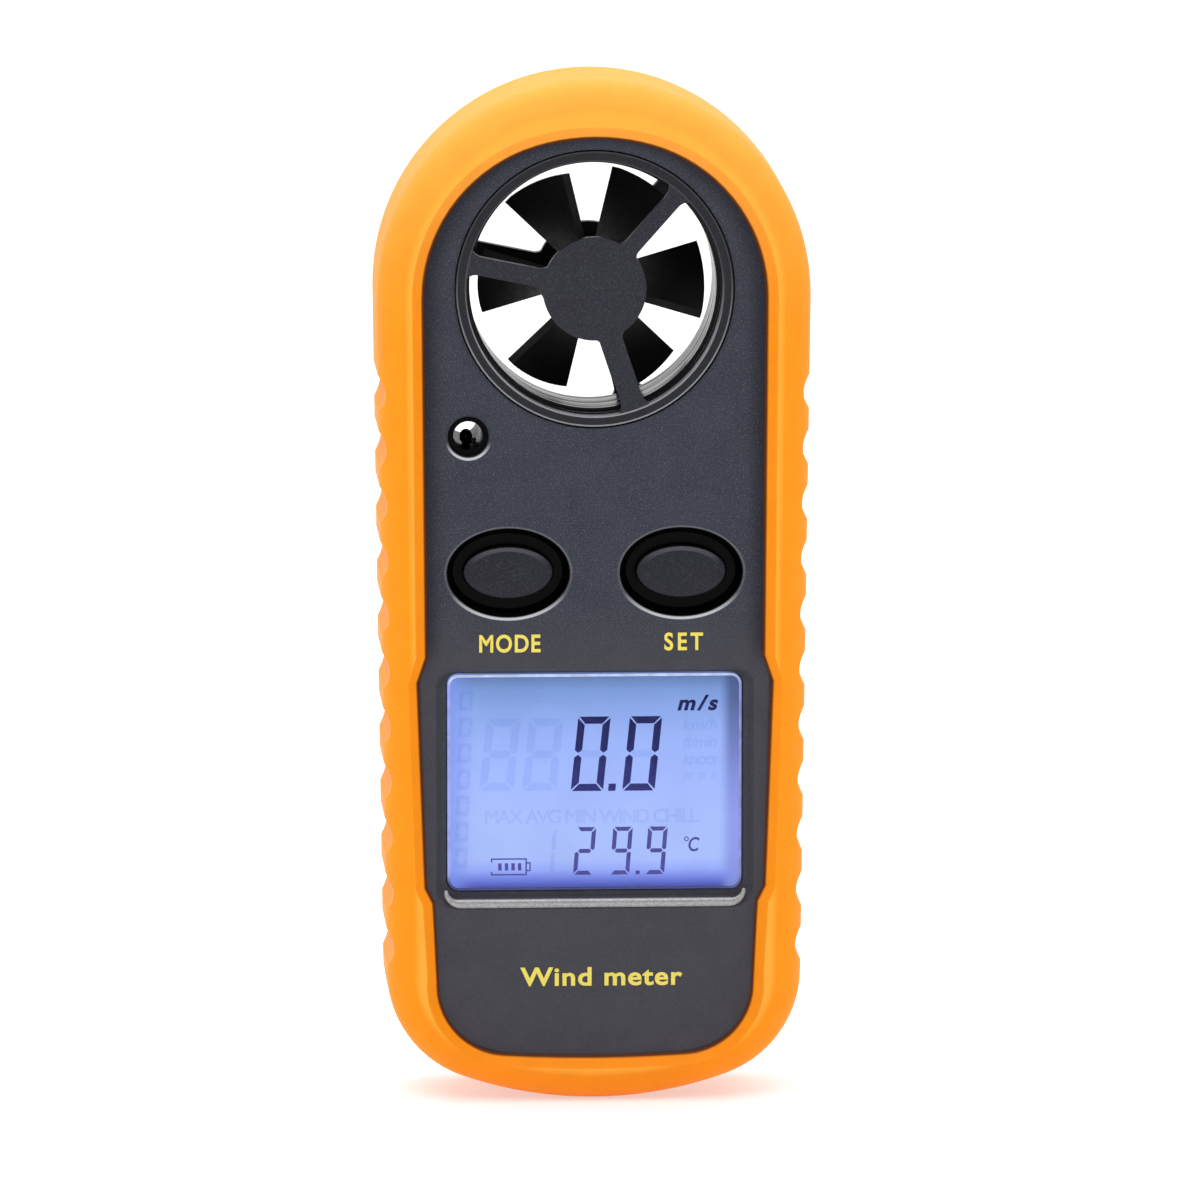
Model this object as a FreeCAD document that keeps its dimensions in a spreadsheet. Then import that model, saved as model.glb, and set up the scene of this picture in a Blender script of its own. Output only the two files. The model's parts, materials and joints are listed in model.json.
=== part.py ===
import FreeCAD, Part
import math
import os
import re

import Sketcher

# Handheld vane wind meter in a rubber boot.
# Frame: +Z runs up the length towards the fan, the face with the display looks along -Y,
# +X is to the right of someone reading it. The origin is the middle of the whole object.

doc = FreeCAD.newDocument("wind_meter")

DRIVING = {
    # Whole object, boot included
    "overall_width": 47.4,
    "overall_height": 112.4,
    "overall_depth": 20.4,
    "foot_width": 45.4,
    "foot_height": 14.1,
    "foot_corner": 12.3,
    # Boot
    "boot_wall": 3.4,
    "boot_round": 4.2,
    "boot_fit": 0.05,
    "lip_bevel": 1.45,
    "bevel_over": 0.2,
    "back_margin": 6.8,
    "grip_count": 11,
    "grip_first": 21.9,
    "grip_pitch": 6.11,
    "grip_radius": 3.0,
    "grip_depth": 0.75,
    # Front opening of the boot
    "opening_width": 37.2,
    "opening_waist": 36.6,
    "opening_top_margin": 6.3,
    "opening_top_corner": 17.2,
    "opening_bottom_margin": 5.1,
    "opening_foot_corner": 7.6,
    "opening_foot_rise": 7.9,
    "bay_rise": 2.1,
    "bay_shy": 0.5,
    "bay_step": 2.8,
    "bay_return": 1.7,
    "bay_width_top": 38.5,
    "bay_width_bottom": 36.8,
    "panel_width_top": 35.1,
    "panel_width_bottom": 34.2,
    # Case
    "boot_face": 1.6,
    "case_wall": 1.5,
    "case_edge": 0.8,
    "edge_break": 0.25,
    # Fan
    "fan_drop": 22.8,
    "bezel_gap": 0.2,
    "guard_step": 0.5,
    "guard_rim": 1.1,
    "guard_lap": 0.9,
    "guard_flange_thick": 0.9,
    "guard_recess": 0.5,
    "guard_thick": 1.3,
    "guard_hub": 5.65,
    "spoke_right": 1.8,
    "spoke_left": 2.0,
    "spoke_low": 2.4,
    "spoke_angle": 48.4,
    "spoke_root": 1.1,
    "spoke_foot": 1.4,
    "spoke_bed": 0.15,
    "duct_inner": 13.5,
    "duct_mouth_step": 0.35,
    "duct_mouth_depth": 1.6,
    "duct_wall": 1.4,
    "blade_count": 6,
    "blade_clear": 1.1,
    "blade_depth": 6.2,
    "blade_sweep": 33.0,
    "blade_thick": 0.8,
    "blade_sink": 0.8,
    "rotor_hub": 4.4,
    "rotor_nose": 0.8,
    "rotor_over": 0.1,
    "shaft_radius": 0.75,
    "shaft_play": 0.05,
    "shaft_end_play": 0.3,
    "bush_radius": 1.6,
    "bush_length": 2.0,
    "bush_shy": 0.2,
    "boss_radius": 2.5,
    "magnet_radius": 3.4,
    "magnet_thick": 1.0,
    "hall_length": 2.3,
    "hall_width": 3.0,
    "hall_thick": 1.3,
    "hall_gap": 0.3,
    "sensor_lead_radius": 0.35,
    "sensor_lead_gap": 0.05,
    "sensor_lead_dip": 0.15,
    "sensor_lead_turn": 1.5,
    "sensor_lead_out": 1.2,
    "sensor_lead_drop": 2.2,
    "sensor_pad_inset": 1.6,
    "duct_notch_width": 1.4,
    "duct_notch_depth": 1.3,
    # Air temperature sensor well
    "well_x": -13.8,
    "well_drop": 38.9,
    "well_mouth": 2.25,
    "well_bore": 1.6,
    "well_outer": 2.9,
    "well_lip": 1.2,
    "bead_radius": 0.7,
    "bead_length": 1.7,
    "bead_drop": 0.8,
    "lead_radius": 0.2,
    "lead_pitch": 0.7,
    "lead_angle": -55.0,
    "lead_length": 7.4,
    "lead_slot": 1.5,
    # Keys
    "key_x": 9.45,
    "key_z": 2.3,
    "key_long": 9.7,
    "key_short": 5.6,
    "key_play": 0.2,
    "key_travel": 0.6,
    "key_dome": 22.0,
    "key_sink": 0.35,
    "key_flange": 0.8,
    "key_flange_thick": 0.6,
    "key_slack": 0.1,
    "key_nub": 0.2,
    "switch_gap": 0.05,
    "switch_size": 4.4,
    "switch_height": 1.8,
    "plunger_radius": 1.2,
    "dish_margin_long": 2.3,
    "dish_margin_short": 2.7,
    "dish_flare": 1.6,
    "dish_depth": 1.9,
    "dish_wall": 0.9,
    "dish_floor": 0.9,
    # Display
    "window_z": -20.95,
    "window_width": 32.2,
    "window_height": 23.9,
    "window_corner": 1.2,
    "window_gap": 0.15,
    "window_flange": 1.0,
    "window_flange_thick": 0.6,
    "window_proud": 0.25,
    "window_edge": 0.25,
    "recess_depth": 1.0,
    "recess_side": 1.3,
    "recess_head": 0.75,
    "recess_sill": 2.0,
    "recess_slope": 0.5,
    "sill_slope": 1.3,
    "recess_corner": 1.9,
    "gasket_thick": 0.4,
    "glass_lap_side": 1.0,
    "glass_lap_ends": 1.1,
    "glass_corner": 0.4,
    "glass_thick": 1.8,
    "guide_shy_side": 2.2,
    "guide_shy_ends": 3.9,
    "guide_corner": 0.6,
    "guide_thick": 1.9,
    "guide_space": 0.7,
    "holder_shelf": 0.4,
    "holder_corner": 0.5,
    "holder_wall": 0.7,
    "holder_gap": 0.1,
    "strip_width": 1.8,
    "strip_shy": 3.0,
    "strip_gap": 0.3,
    "led_size": 1.4,
    # Circuit board
    "board_width": 31.4,
    "board_top": 8.0,
    "board_bottom": -38.8,
    "neck_width": 21.0,
    "neck_drop": 4.8,
    "board_thick": 1.2,
    "post_radius": 1.9,
    "post_x": 13.0,
    "post_inset": 1.8,
    "neck_post_inset": 3.1,
    "board_screw": 0.8,
    "board_screw_head": 1.7,
    "board_screw_head_thick": 0.9,
    "board_hole": 1.0,
    "board_corner": 1.0,
    "post_pilot": 3.6,
    "pilot_spare": 0.3,
    "chip_size": 9.0,
    "chip_thick": 1.1,
    "chip_z": -28.0,
    "crystal_radius": 0.7,
    "crystal_length": 6.0,
    "crystal_x": 9.0,
    "crystal_z": -37.0,
    "passive_z": 4.0,
    "passive_x": -8.0,
    "passive_pitch": 2.2,
    "passive_count": 8,
    "passive_width": 0.8,
    "passive_length": 1.6,
    "passive_thick": 0.5,
    # Case screws
    "upper_screw_x": 13.6,
    "upper_screw_z": 11.0,
    "lower_screw_x": 12.4,
    "lower_screw_rise": 13.0,
    "pillar_radius": 2.3,
    "screw_shank": 0.8,
    "screw_hole": 1.0,
    "screw_head": 1.75,
    "screw_head_thick": 1.1,
    "screw_sink": 1.95,
    "screw_sink_depth": 1.7,
    "screw_depth": 4.6,
    "screw_cross": 0.6,
    "screw_cross_reach": 0.62,
    # Battery
    "cell_z": -20.0,
    "cell_radius": 10.0,
    "cell_thick": 3.2,
    "cell_stand": 0.6,
    "cell_step": 0.4,
    "cell_step_in": 1.2,
    "cup_room": 1.4,
    "cup_wall": 1.4,
    "cup_floor": 0.7,
    "cup_clear": 1.5,
    "collar_play": 0.3,
    "collar_thick": 0.7,
    "cover_lap": 0.3,
    "cover_gap": 0.25,
    "cover_rest": 0.3,
    "neck_play": 0.2,
    "neck_wall": 1.2,
    "lug_reach": 0.8,
    "lug_thick": 0.5,
    "lug_play": 0.1,
    "lug_angle": 24.0,
    "lug_clear": 4.0,
    "cover_turn": 45.0,
    "coin_slot_length": 13.0,
    "coin_slot_width": 1.9,
    "coin_slot_depth": 0.8,
    "seal_inset": 0.3,
    "seal_margin": 0.2,
    "seal_thick": 0.2,
    "contact_thick": 0.2,
    "contact_gap": 0.05,
    "contact_spread": 25.0,
    "contact_slot_play": 0.3,
    "plus_width": 2.4,
    "minus_width": 4.0,
    "minus_reach": 7.0,
}

DERIVED = {
    "top": "overall_height / 2",
    "bottom": "-overall_height / 2",
    "front": "-overall_depth / 2",
    "case_depth": "overall_depth - 2 * boot_face",
    "case_front": "-case_depth / 2",
    "case_back": "case_depth / 2",
    "inner_front": "-case_depth / 2 + case_wall",
    "inner_back": "case_depth / 2 - case_wall",
    "crown_z": "overall_height / 2 - overall_width / 2",
    "foot_z": "foot_height - overall_height / 2",
    "bay_top": "window_z + window_height / 2 + bay_rise",
    "bay_bottom": "window_z - window_height / 2 + bay_shy",
    "fan_z": "overall_height / 2 - fan_drop",
    "guard_inner": "duct_inner + guard_step",
    "guard_radius": "guard_inner + guard_rim",
    "guard_flange": "guard_radius + guard_lap",
    "bezel_radius": "guard_radius + bezel_gap",
    "guard_face": "case_depth / 2 - guard_recess",
    "guard_back": "case_depth / 2 - guard_recess - guard_thick",
    "duct_mouth": "duct_inner + duct_mouth_step",
    "duct_outer": "duct_inner + duct_wall",
    "duct_end": "case_depth / 2 - case_wall - guard_flange_thick",
    "blade_tip": "duct_inner - blade_clear",
    "boss_end": "case_depth / 2 - guard_recess - guard_thick - bush_length - bush_shy",
    "well_z": "overall_height / 2 - well_drop",
    "bead_z": "well_z - bead_drop",
    "dish_floor_long": "key_long + dish_margin_long",
    "dish_floor_short": "key_short + dish_margin_short",
    "dish_long": "dish_floor_long + dish_flare",
    "dish_short": "dish_floor_short + dish_flare",
    "key_stop": "dish_depth + dish_floor - case_depth / 2",
    "pane_back": "window_flange_thick - case_depth / 2 + case_wall",
    "glass_width": "window_width + glass_lap_side",
    "glass_height": "window_height + glass_lap_ends",
    "guide_width": "window_width - guide_shy_side",
    "guide_height": "window_height - guide_shy_ends",
    "strip_length": "guide_width - strip_shy",
    "board_front": "pane_back + gasket_thick + glass_thick + guide_thick + guide_space",
    "board_back": "board_front + board_thick",
    "neck_top": "well_z - neck_drop",
    "post_z": "board_bottom + post_inset",
    "neck_post_z": "neck_top - neck_post_inset",
    "lower_screw_z": "lower_screw_rise - overall_height / 2",
    "cup_front": "board_back + cup_clear",
    "cup_base": "cup_front + cup_floor",
    "cell_front": "cup_base + cell_stand",
    "cell_back": "cell_front + cell_thick",
    "cup_inner": "cell_radius + cup_room",
    "collar_radius": "cell_radius + collar_play",
    "cover_radius": "cup_inner + cover_lap",
    "cover_neck": "collar_radius - neck_play",
    "cover_lug": "collar_radius + lug_reach",
    "cover_seat": "case_depth / 2 - case_wall + seal_thick",
    "seal_inner": "collar_radius + seal_inset",
    "seal_outer": "cover_radius - seal_margin",
}

sheet = doc.addObject("Spreadsheet::Sheet", "Dims")
for row, (alias, content) in enumerate({**DRIVING, **DERIVED}.items(), start=1):
    sheet.set(f"A{row}", alias)
    sheet.set(f"B{row}", f"={content}" if alias in DERIVED else str(content))
    sheet.setAlias(f"B{row}", alias)
spare = doc.addObject("Spreadsheet::Sheet", "Spare")
doc.recompute()

ALIASES = {*DRIVING, *DERIVED}
WORD = re.compile(r"[a-z_]+")
BACK_TO_Y = FreeCAD.Rotation(FreeCAD.Vector(1, 0, 0), -90)
FACE_XZ = FreeCAD.Rotation(FreeCAD.Vector(1, 0, 0), 90)
nodes = {}


def linked(text):
    """An expression in which every name from the sheet points at its cell."""
    return WORD.sub(lambda word: "Dims." + word.group() if word.group() in ALIASES else word.group(), text)


def number(text):
    """The value that an expression has now, read from a spare cell."""
    spare.set("A1", f"={linked(text)}")
    spare.recompute()
    return float(spare.get("A1"))


def bind(item, **sizes):
    for name, text in sizes.items():
        item.setExpression(name, linked(text))
    return item


def place(item, x="0", y="0", z="0"):
    """Move an item to a point given by three expressions, keeping its rotation."""
    for axis, text in (("x", x), ("y", y), ("z", z)):
        item.setExpression(f"Placement.Base.{axis}", linked(text))
    return item


def block(name, x, y, z):
    """A box between pairs of limits along each axis."""
    item = doc.addObject("Part::Box", name)
    bind(item, Length=f"({x[1]}) - ({x[0]})", Width=f"({y[1]}) - ({y[0]})", Height=f"({z[1]}) - ({z[0]})")
    return place(item, x[0], y[0], z[0])


def rod(name, radius, y, x="0", z="0"):
    """A cylinder along Y between two depths."""
    item = doc.addObject("Part::Cylinder", name)
    item.Placement = FreeCAD.Placement(FreeCAD.Vector(), BACK_TO_Y)
    bind(item, Radius=radius, Height=f"({y[1]}) - ({y[0]})")
    return place(item, x, y[0], z)


def fuse(name, *items):
    item = doc.addObject("Part::MultiFuse", name)
    item.Shapes = list(items)
    return item


def group(name, *items):
    """Separate solids that share one node."""
    item = doc.addObject("Part::Compound", name)
    item.Links = list(items)
    return item


def cut(name, base, *tools):
    item = doc.addObject("Part::Cut", name)
    item.Base = base
    item.Tool = tools[0] if len(tools) == 1 else fuse(name + "_tools", *tools)
    return item


def common(name, base, tool):
    item = doc.addObject("Part::Common", name)
    item.Base = base
    item.Tool = tool
    return item


def node(name, item):
    """Name a finished sub-part."""
    item.Label = name
    nodes[name] = item
    return item


def sketch(name, y, body=None):
    """An empty sketch in the plane at depth y: its first axis is X and its second is Z."""
    if body is None:
        item = doc.addObject("Sketcher::SketchObject", name)
        item.Placement = FreeCAD.Placement(FreeCAD.Vector(), FACE_XZ)
        return place(item, y=y)
    item = body.newObject("Sketcher::SketchObject", name)
    plane = [part for part in body.Origin.OriginFeatures if part.Role == "XZ_Plane"][0]
    item.AttachmentSupport = [(plane, "")]
    item.MapMode = "FlatFace"
    item.setExpression("AttachmentOffset.Base.z", linked(f"-({y})"))
    return item


def pin_point(item, edge, end, x, z):
    """Hold one point of a sketch at coordinates given by expressions."""
    for kind, axis, text in (("DistanceX", -2, x), ("DistanceY", -1, z)):
        if text == "0":
            item.addConstraint(Sketcher.Constraint("PointOnObject", edge, end, axis))
            continue
        index = item.addConstraint(Sketcher.Constraint(kind, edge, end, number(text)))
        item.setExpression(f"Constraints[{index}]", linked(text))


def set_radius(item, edge, text):
    index = item.addConstraint(Sketcher.Constraint("Radius", edge, number(text)))
    item.setExpression(f"Constraints[{index}]", linked(text))


def circle(item, x, z, radius):
    centre = FreeCAD.Vector(number(x), number(z), 0)
    edge = item.addGeometry(Part.Circle(centre, FreeCAD.Vector(0, 0, 1), number(radius)), False)
    pin_point(item, edge, 3, x, z)
    set_radius(item, edge, radius)


def outline(item, points):
    """Close a sketch through points (x, z, radius), given counter-clockwise.

    The radius is that of the arc to the next point, with a minus sign where the arc
    bulges inwards, or None for a straight edge.
    """
    ends = []
    for index, (x, z, radius) in enumerate(points):
        after = points[(index + 1) % len(points)]
        here = FreeCAD.Vector(number(x), number(z), 0)
        there = FreeCAD.Vector(number(after[0]), number(after[1]), 0)
        hollow = radius is not None and radius.startswith("-")
        ends.append((2, 1) if hollow else (1, 2))
        if radius is None:
            item.addGeometry(Part.LineSegment(here, there), False)
            continue
        first, second = (there, here) if hollow else (here, there)
        size = number(radius.lstrip("-"))
        chord = second - first
        reach = math.sqrt(max(size ** 2 - chord.Length ** 2 / 4, 0))
        centre = (first + second) / 2 + FreeCAD.Vector(-chord.y, chord.x, 0).normalize() * reach
        angles = [math.atan2(point.y - centre.y, point.x - centre.x) for point in (first, second)]
        arc = Part.Circle(centre, FreeCAD.Vector(0, 0, 1), size)
        item.addGeometry(Part.ArcOfCircle(arc, angles[0], angles[1]), False)
    for index, (x, z, radius) in enumerate(points):
        after = (index + 1) % len(points)
        item.addConstraint(Sketcher.Constraint("Coincident", index, ends[index][1], after, ends[after][0]))
    for index, (x, z, radius) in enumerate(points):
        pin_point(item, index, ends[index][0], x, z)
        if radius is not None:
            set_radius(item, index, radius.lstrip("-"))
    return item


def mirrored(right):
    """A symmetrical outline from its right-hand half, listed upwards from the lowest point."""
    points = list(right)
    for index in range(len(right) - 1, 0, -1):
        x, z, _ = right[index]
        radius = right[index - 1][2]
        if x == "0":
            points[index] = (x, z, radius)
        else:
            points.append((f"-({x})", z, radius))
    return points


def crown_radius(half, rise, corner):
    """Radius of the flat arc that closes two round corners and meets both without a kink."""
    arm = f"(({half}) - ({corner}))"
    return f"({arm}^2 + ({rise})^2 - ({corner})^2) / (2 * (({rise}) - ({corner})))"


def crown_point(half, rise, corner):
    """Where the corner meets that arc: X, and height above the corner's centre."""
    radius = crown_radius(half, rise, corner)
    arm = f"(({half}) - ({corner}))"
    drop = f"(({radius}) - ({rise}))"
    scale = f"(({radius}) / (({radius}) - ({corner})))"
    return f"{arm} * {scale}", f"({drop} * {scale} - {drop})"


def shell_outline(inset):
    """The object's outline moved inwards: a half-round top, sides that taper, a rounded foot."""
    rise = "foot_height"
    x, z = crown_point("foot_width / 2", rise, "foot_corner")
    flat = crown_radius("foot_width / 2", rise, "foot_corner")
    shrink = f"(1 - ({inset}) / ({flat}))"
    return mirrored([
        ("0", f"bottom + ({inset})", f"{flat} - ({inset})"),
        (f"({x}) * {shrink}", f"foot_z - ({z}) + ({inset}) * (({flat}) - foot_height + ({z})) / ({flat})",
         f"foot_corner - ({inset})"),
        (f"foot_width / 2 - ({inset})", "foot_z", None),
        (f"overall_width / 2 - ({inset})", "crown_z", f"overall_width / 2 - ({inset})"),
        ("0", f"top - ({inset})", None),
    ])


def opening_outline(grow):
    """The boot's front opening grown outwards: flat round top, a bay at the display, a rounded foot."""
    half, corner = f"(opening_width / 2 + {grow})", f"(opening_top_corner + {grow})"
    rise = f"(top - opening_top_margin - crown_z + {grow})"
    top_x, top_z = crown_point(half, rise, corner)
    low_half, low_corner = f"(panel_width_bottom / 2 + {grow})", f"(opening_foot_corner + {grow})"
    low_rise = f"(opening_foot_rise + {grow})"
    low_x, low_z = crown_point(low_half, low_rise, low_corner)
    foot = "(bottom + opening_bottom_margin + opening_foot_rise)"
    return mirrored([
        ("0", f"bottom + opening_bottom_margin - ({grow})", crown_radius(low_half, low_rise, low_corner)),
        (low_x, f"{foot} - ({low_z})", low_corner),
        (low_half, foot, None),
        (f"panel_width_top / 2 + {grow}", "bay_bottom - bay_return", None),
        (f"bay_width_bottom / 2 + {grow}", "bay_bottom", None),
        (f"bay_width_top / 2 + {grow}", "bay_top - bay_step", None),
        (f"opening_waist / 2 + {grow}", "bay_top", None),
        (half, "crown_z", corner),
        (top_x, f"crown_z + ({top_z})", crown_radius(half, rise, corner)),
        ("0", f"top - opening_top_margin + {grow}", None),
    ])


def rounded(width, height, corner, x="0", z="0"):
    """A rectangle with round corners about (x, z)."""
    right, left = f"{x} + ({width}) / 2", f"{x} - ({width}) / 2"
    high, low = f"{z} + ({height}) / 2", f"{z} - ({height}) / 2"
    return [
        (f"{left} + ({corner})", low, None),
        (f"{right} - ({corner})", low, corner),
        (right, f"{low} + ({corner})", None),
        (right, f"{high} - ({corner})", corner),
        (f"{right} - ({corner})", high, None),
        (f"{left} + ({corner})", high, corner),
        (left, f"{high} - ({corner})", None),
        (left, f"{low} + ({corner})", corner),
    ]


def pad(body, name, y, points, length):
    """Material from the outline at depth y, growing towards the back."""
    feature = body.newObject("PartDesign::Pad", name)
    feature.Profile = outline(sketch(name + "_outline", y, body), points)
    feature.Reversed = True
    bind(feature, Length=length)
    return feature


def pocket(body, name, y, points, length):
    """A cut from the outline at depth y, growing towards the back."""
    feature = body.newObject("PartDesign::Pocket", name)
    feature.Profile = outline(sketch(name + "_outline", y, body), points)
    bind(feature, Length=length)
    return feature


def edges_at(shape, depth, tolerance=1e-3):
    """Names of the edges that lie wholly in the plane at one depth."""
    found = []
    for index, edge in enumerate(shape.Edges, start=1):
        box = edge.BoundBox
        if abs(box.YMin - depth) < tolerance and abs(box.YMax - depth) < tolerance:
            found.append((f"Edge{index}", edge))
    return found


def dress(body, kind, name, base, names, **sizes):
    """A fillet or chamfer on named edges of an earlier feature."""
    feature = body.newObject(kind, name)
    feature.Base = (base, names)
    return bind(feature, **sizes)


def prism(name, points, y):
    """A free-standing extrusion of an outline between two depths."""
    item = doc.addObject("Part::Extrusion", name)
    item.Base = outline(sketch(name + "_outline", y[0]), points)
    item.DirMode = "Custom"
    item.Dir = FreeCAD.Vector(0, 1, 0)
    item.Solid = True
    return bind(item, LengthFwd=f"({y[1]}) - ({y[0]})")


def oval(name, long, short, y, x, z):
    """A wire in the shape of an ellipse, its long axis along X."""
    item = doc.addObject("Part::Ellipse", name)
    item.Placement = FreeCAD.Placement(FreeCAD.Vector(), FACE_XZ)
    bind(item, MajorRadius=f"({long}) / 2", MinorRadius=f"({short}) / 2")
    return place(item, x, y, z)


def oval_prism(name, long, short, y, x, z):
    item = doc.addObject("Part::Extrusion", name)
    item.Base = oval(name + "_oval", long, short, y[0], x, z)
    item.DirMode = "Custom"
    item.Dir = FreeCAD.Vector(0, 1, 0)
    item.Solid = True
    return bind(item, LengthFwd=f"({y[1]}) - ({y[0]})")


def loft(name, *sections):
    item = doc.addObject("Part::Loft", name)
    item.Sections = list(sections)
    item.Solid = True
    item.Ruled = True
    return item


def free_shape(name, shape, placement=None):
    """A sub-part whose shape is worked out here, then put in place."""
    item = doc.addObject("Part::Feature", name)
    item.Shape = shape
    if placement is not None:
        item.Placement = placement
    return item


def tube(points, radius):
    """A round wire along straight runs joined by arcs that touch both runs."""
    corners = [FreeCAD.Vector(*point) for point in points]
    edges = []
    last = corners[0]
    for before, corner, after in zip(corners, corners[1:], corners[2:]):
        back = (before - corner).normalize()
        ahead = (after - corner).normalize()
        half_turn = (math.pi - back.getAngle(ahead)) / 2
        trim = 0.45 * min((before - corner).Length, (after - corner).Length)
        bend = trim / math.tan(half_turn)
        middle = corner + (back + ahead).normalize() * (bend / math.cos(half_turn) - bend)
        enter = corner + back * trim
        leave = corner + ahead * trim
        edges.append(Part.LineSegment(last, enter).toShape())
        edges.append(Part.Arc(enter, middle, leave).toShape())
        last = leave
    edges.append(Part.LineSegment(last, corners[-1]).toShape())
    heading = corners[1] - corners[0]
    section = Part.Wire([Part.Circle(corners[0], heading, radius).toShape()])
    return Part.Wire(edges).makePipeShell([section], True, False)


# ---------------------------------------------------------------- boot

def make_boot():
    """Rubber sleeve: thick rounded walls, a lip round the front panel and another round the back."""
    body = doc.addObject("PartDesign::Body", "boot")
    block_pad = pad(body, "boot_block", "front", shell_outline("0"), "overall_depth")
    doc.recompute()
    names = [name for name, _ in edges_at(block_pad.Shape, number("front"))]
    names += [name for name, _ in edges_at(block_pad.Shape, -number("front"))]
    dress(body, "PartDesign::Fillet", "boot_rounds", block_pad, names, Radius="boot_round")

    grips = body.newObject("PartDesign::Pocket", "boot_grips")
    marks = sketch("boot_grips_marks", "front", body)
    for side in ("-", ""):
        for index in range(int(number("grip_count"))):
            z = f"grip_first - {index} * grip_pitch"
            taper = f"(overall_width - foot_width) / 2 * (crown_z - ({z})) / (crown_z - foot_z)"
            x = f"{side}(overall_width / 2 - {taper} + grip_radius - grip_depth)"
            circle(marks, x, z, "grip_radius")
    grips.Profile = marks
    bind(grips, Length="overall_depth")

    half_cavity = "(case_depth / 2 + boot_fit)"
    pocket(body, "boot_cavity", f"-{half_cavity}", shell_outline("boot_wall"), f"2 * {half_cavity}")
    pocket(body, "boot_front_opening", "front", opening_outline("0"), "overall_depth / 2")
    bevel = body.newObject("PartDesign::SubtractiveLoft", "boot_lip_bevel")
    bevel.Profile = outline(sketch("boot_bevel_foot", "front + lip_bevel", body), opening_outline("0"))
    bevel.Sections = [
        outline(sketch("boot_bevel_rim", "front - bevel_over", body),
                opening_outline("(lip_bevel + bevel_over)"))
    ]
    bevel.Ruled = True
    pocket(body, "boot_back_opening", "0", shell_outline("back_margin"), "overall_depth / 2")
    return node("protective_boot", body)


# ---------------------------------------------------------------- case

CASE_INSET = "boot_wall + boot_fit"
UPPER_SCREWS = [("-upper_screw_x", "upper_screw_z"), ("upper_screw_x", "upper_screw_z")]
LOWER_SCREWS = [("-lower_screw_x", "lower_screw_z"), ("lower_screw_x", "lower_screw_z")]
CASE_SCREWS = UPPER_SCREWS + LOWER_SCREWS
BOARD_SCREWS = [("-post_x", "post_z"), ("post_x", "post_z"), ("0", "neck_post_z")]
KEYS = {"mode": "-key_x", "set": "key_x"}
SPOKES = {
    "right": ("spoke_angle", "spoke_right / 2"),
    "left": ("spoke_angle + 120", "spoke_left / 2"),
    "low": ("spoke_angle + 240", "spoke_low / 2"),
}
LOW_SPOKE = "(spoke_angle + 240)"


def polar(angle, along, across, x="0", z="fan_z"):
    """A point given along and across a direction, measured from a centre."""
    turned_x = f"{x} + ({along}) * cos({angle}) - ({across}) * sin({angle})"
    turned_z = f"{z} + ({along}) * sin({angle}) + ({across}) * cos({angle})"
    return turned_x, turned_z


def polar_block(name, angle, along, across, y, x="0", z="fan_z"):
    """A block turned to point along a direction from a centre."""
    corners = [(along[0], across[0]), (along[1], across[0]), (along[1], across[1]), (along[0], across[1])]
    return prism(name, [(*polar(angle, *corner, x, z), None) for corner in corners], y)


def shell(name, y, hollow, outer_face):
    """One half of the case: a tray that follows the boot's cavity."""
    body = doc.addObject("PartDesign::Body", name)
    base = pad(body, name + "_block", y[0], shell_outline(CASE_INSET), f"({y[1]}) - ({y[0]})")
    doc.recompute()
    names = [edge for edge, _ in edges_at(base.Shape, number(outer_face))]
    dress(body, "PartDesign::Fillet", name + "_edge", base, names, Radius="case_edge")
    inner = shell_outline(f"{CASE_INSET} + case_wall")
    pocket(body, name + "_hollow", hollow[0], inner, f"({hollow[1]}) - ({hollow[0]})")
    return body


def cone(name, radius, y, x, z):
    """A cone along Y whose radius runs from the first value to the second."""
    item = doc.addObject("Part::Cone", name)
    item.Placement = FreeCAD.Placement(FreeCAD.Vector(), BACK_TO_Y)
    bind(item, Radius1=radius[0], Radius2=radius[1], Height=f"({y[1]}) - ({y[0]})")
    return place(item, x, y[0], z)


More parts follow.
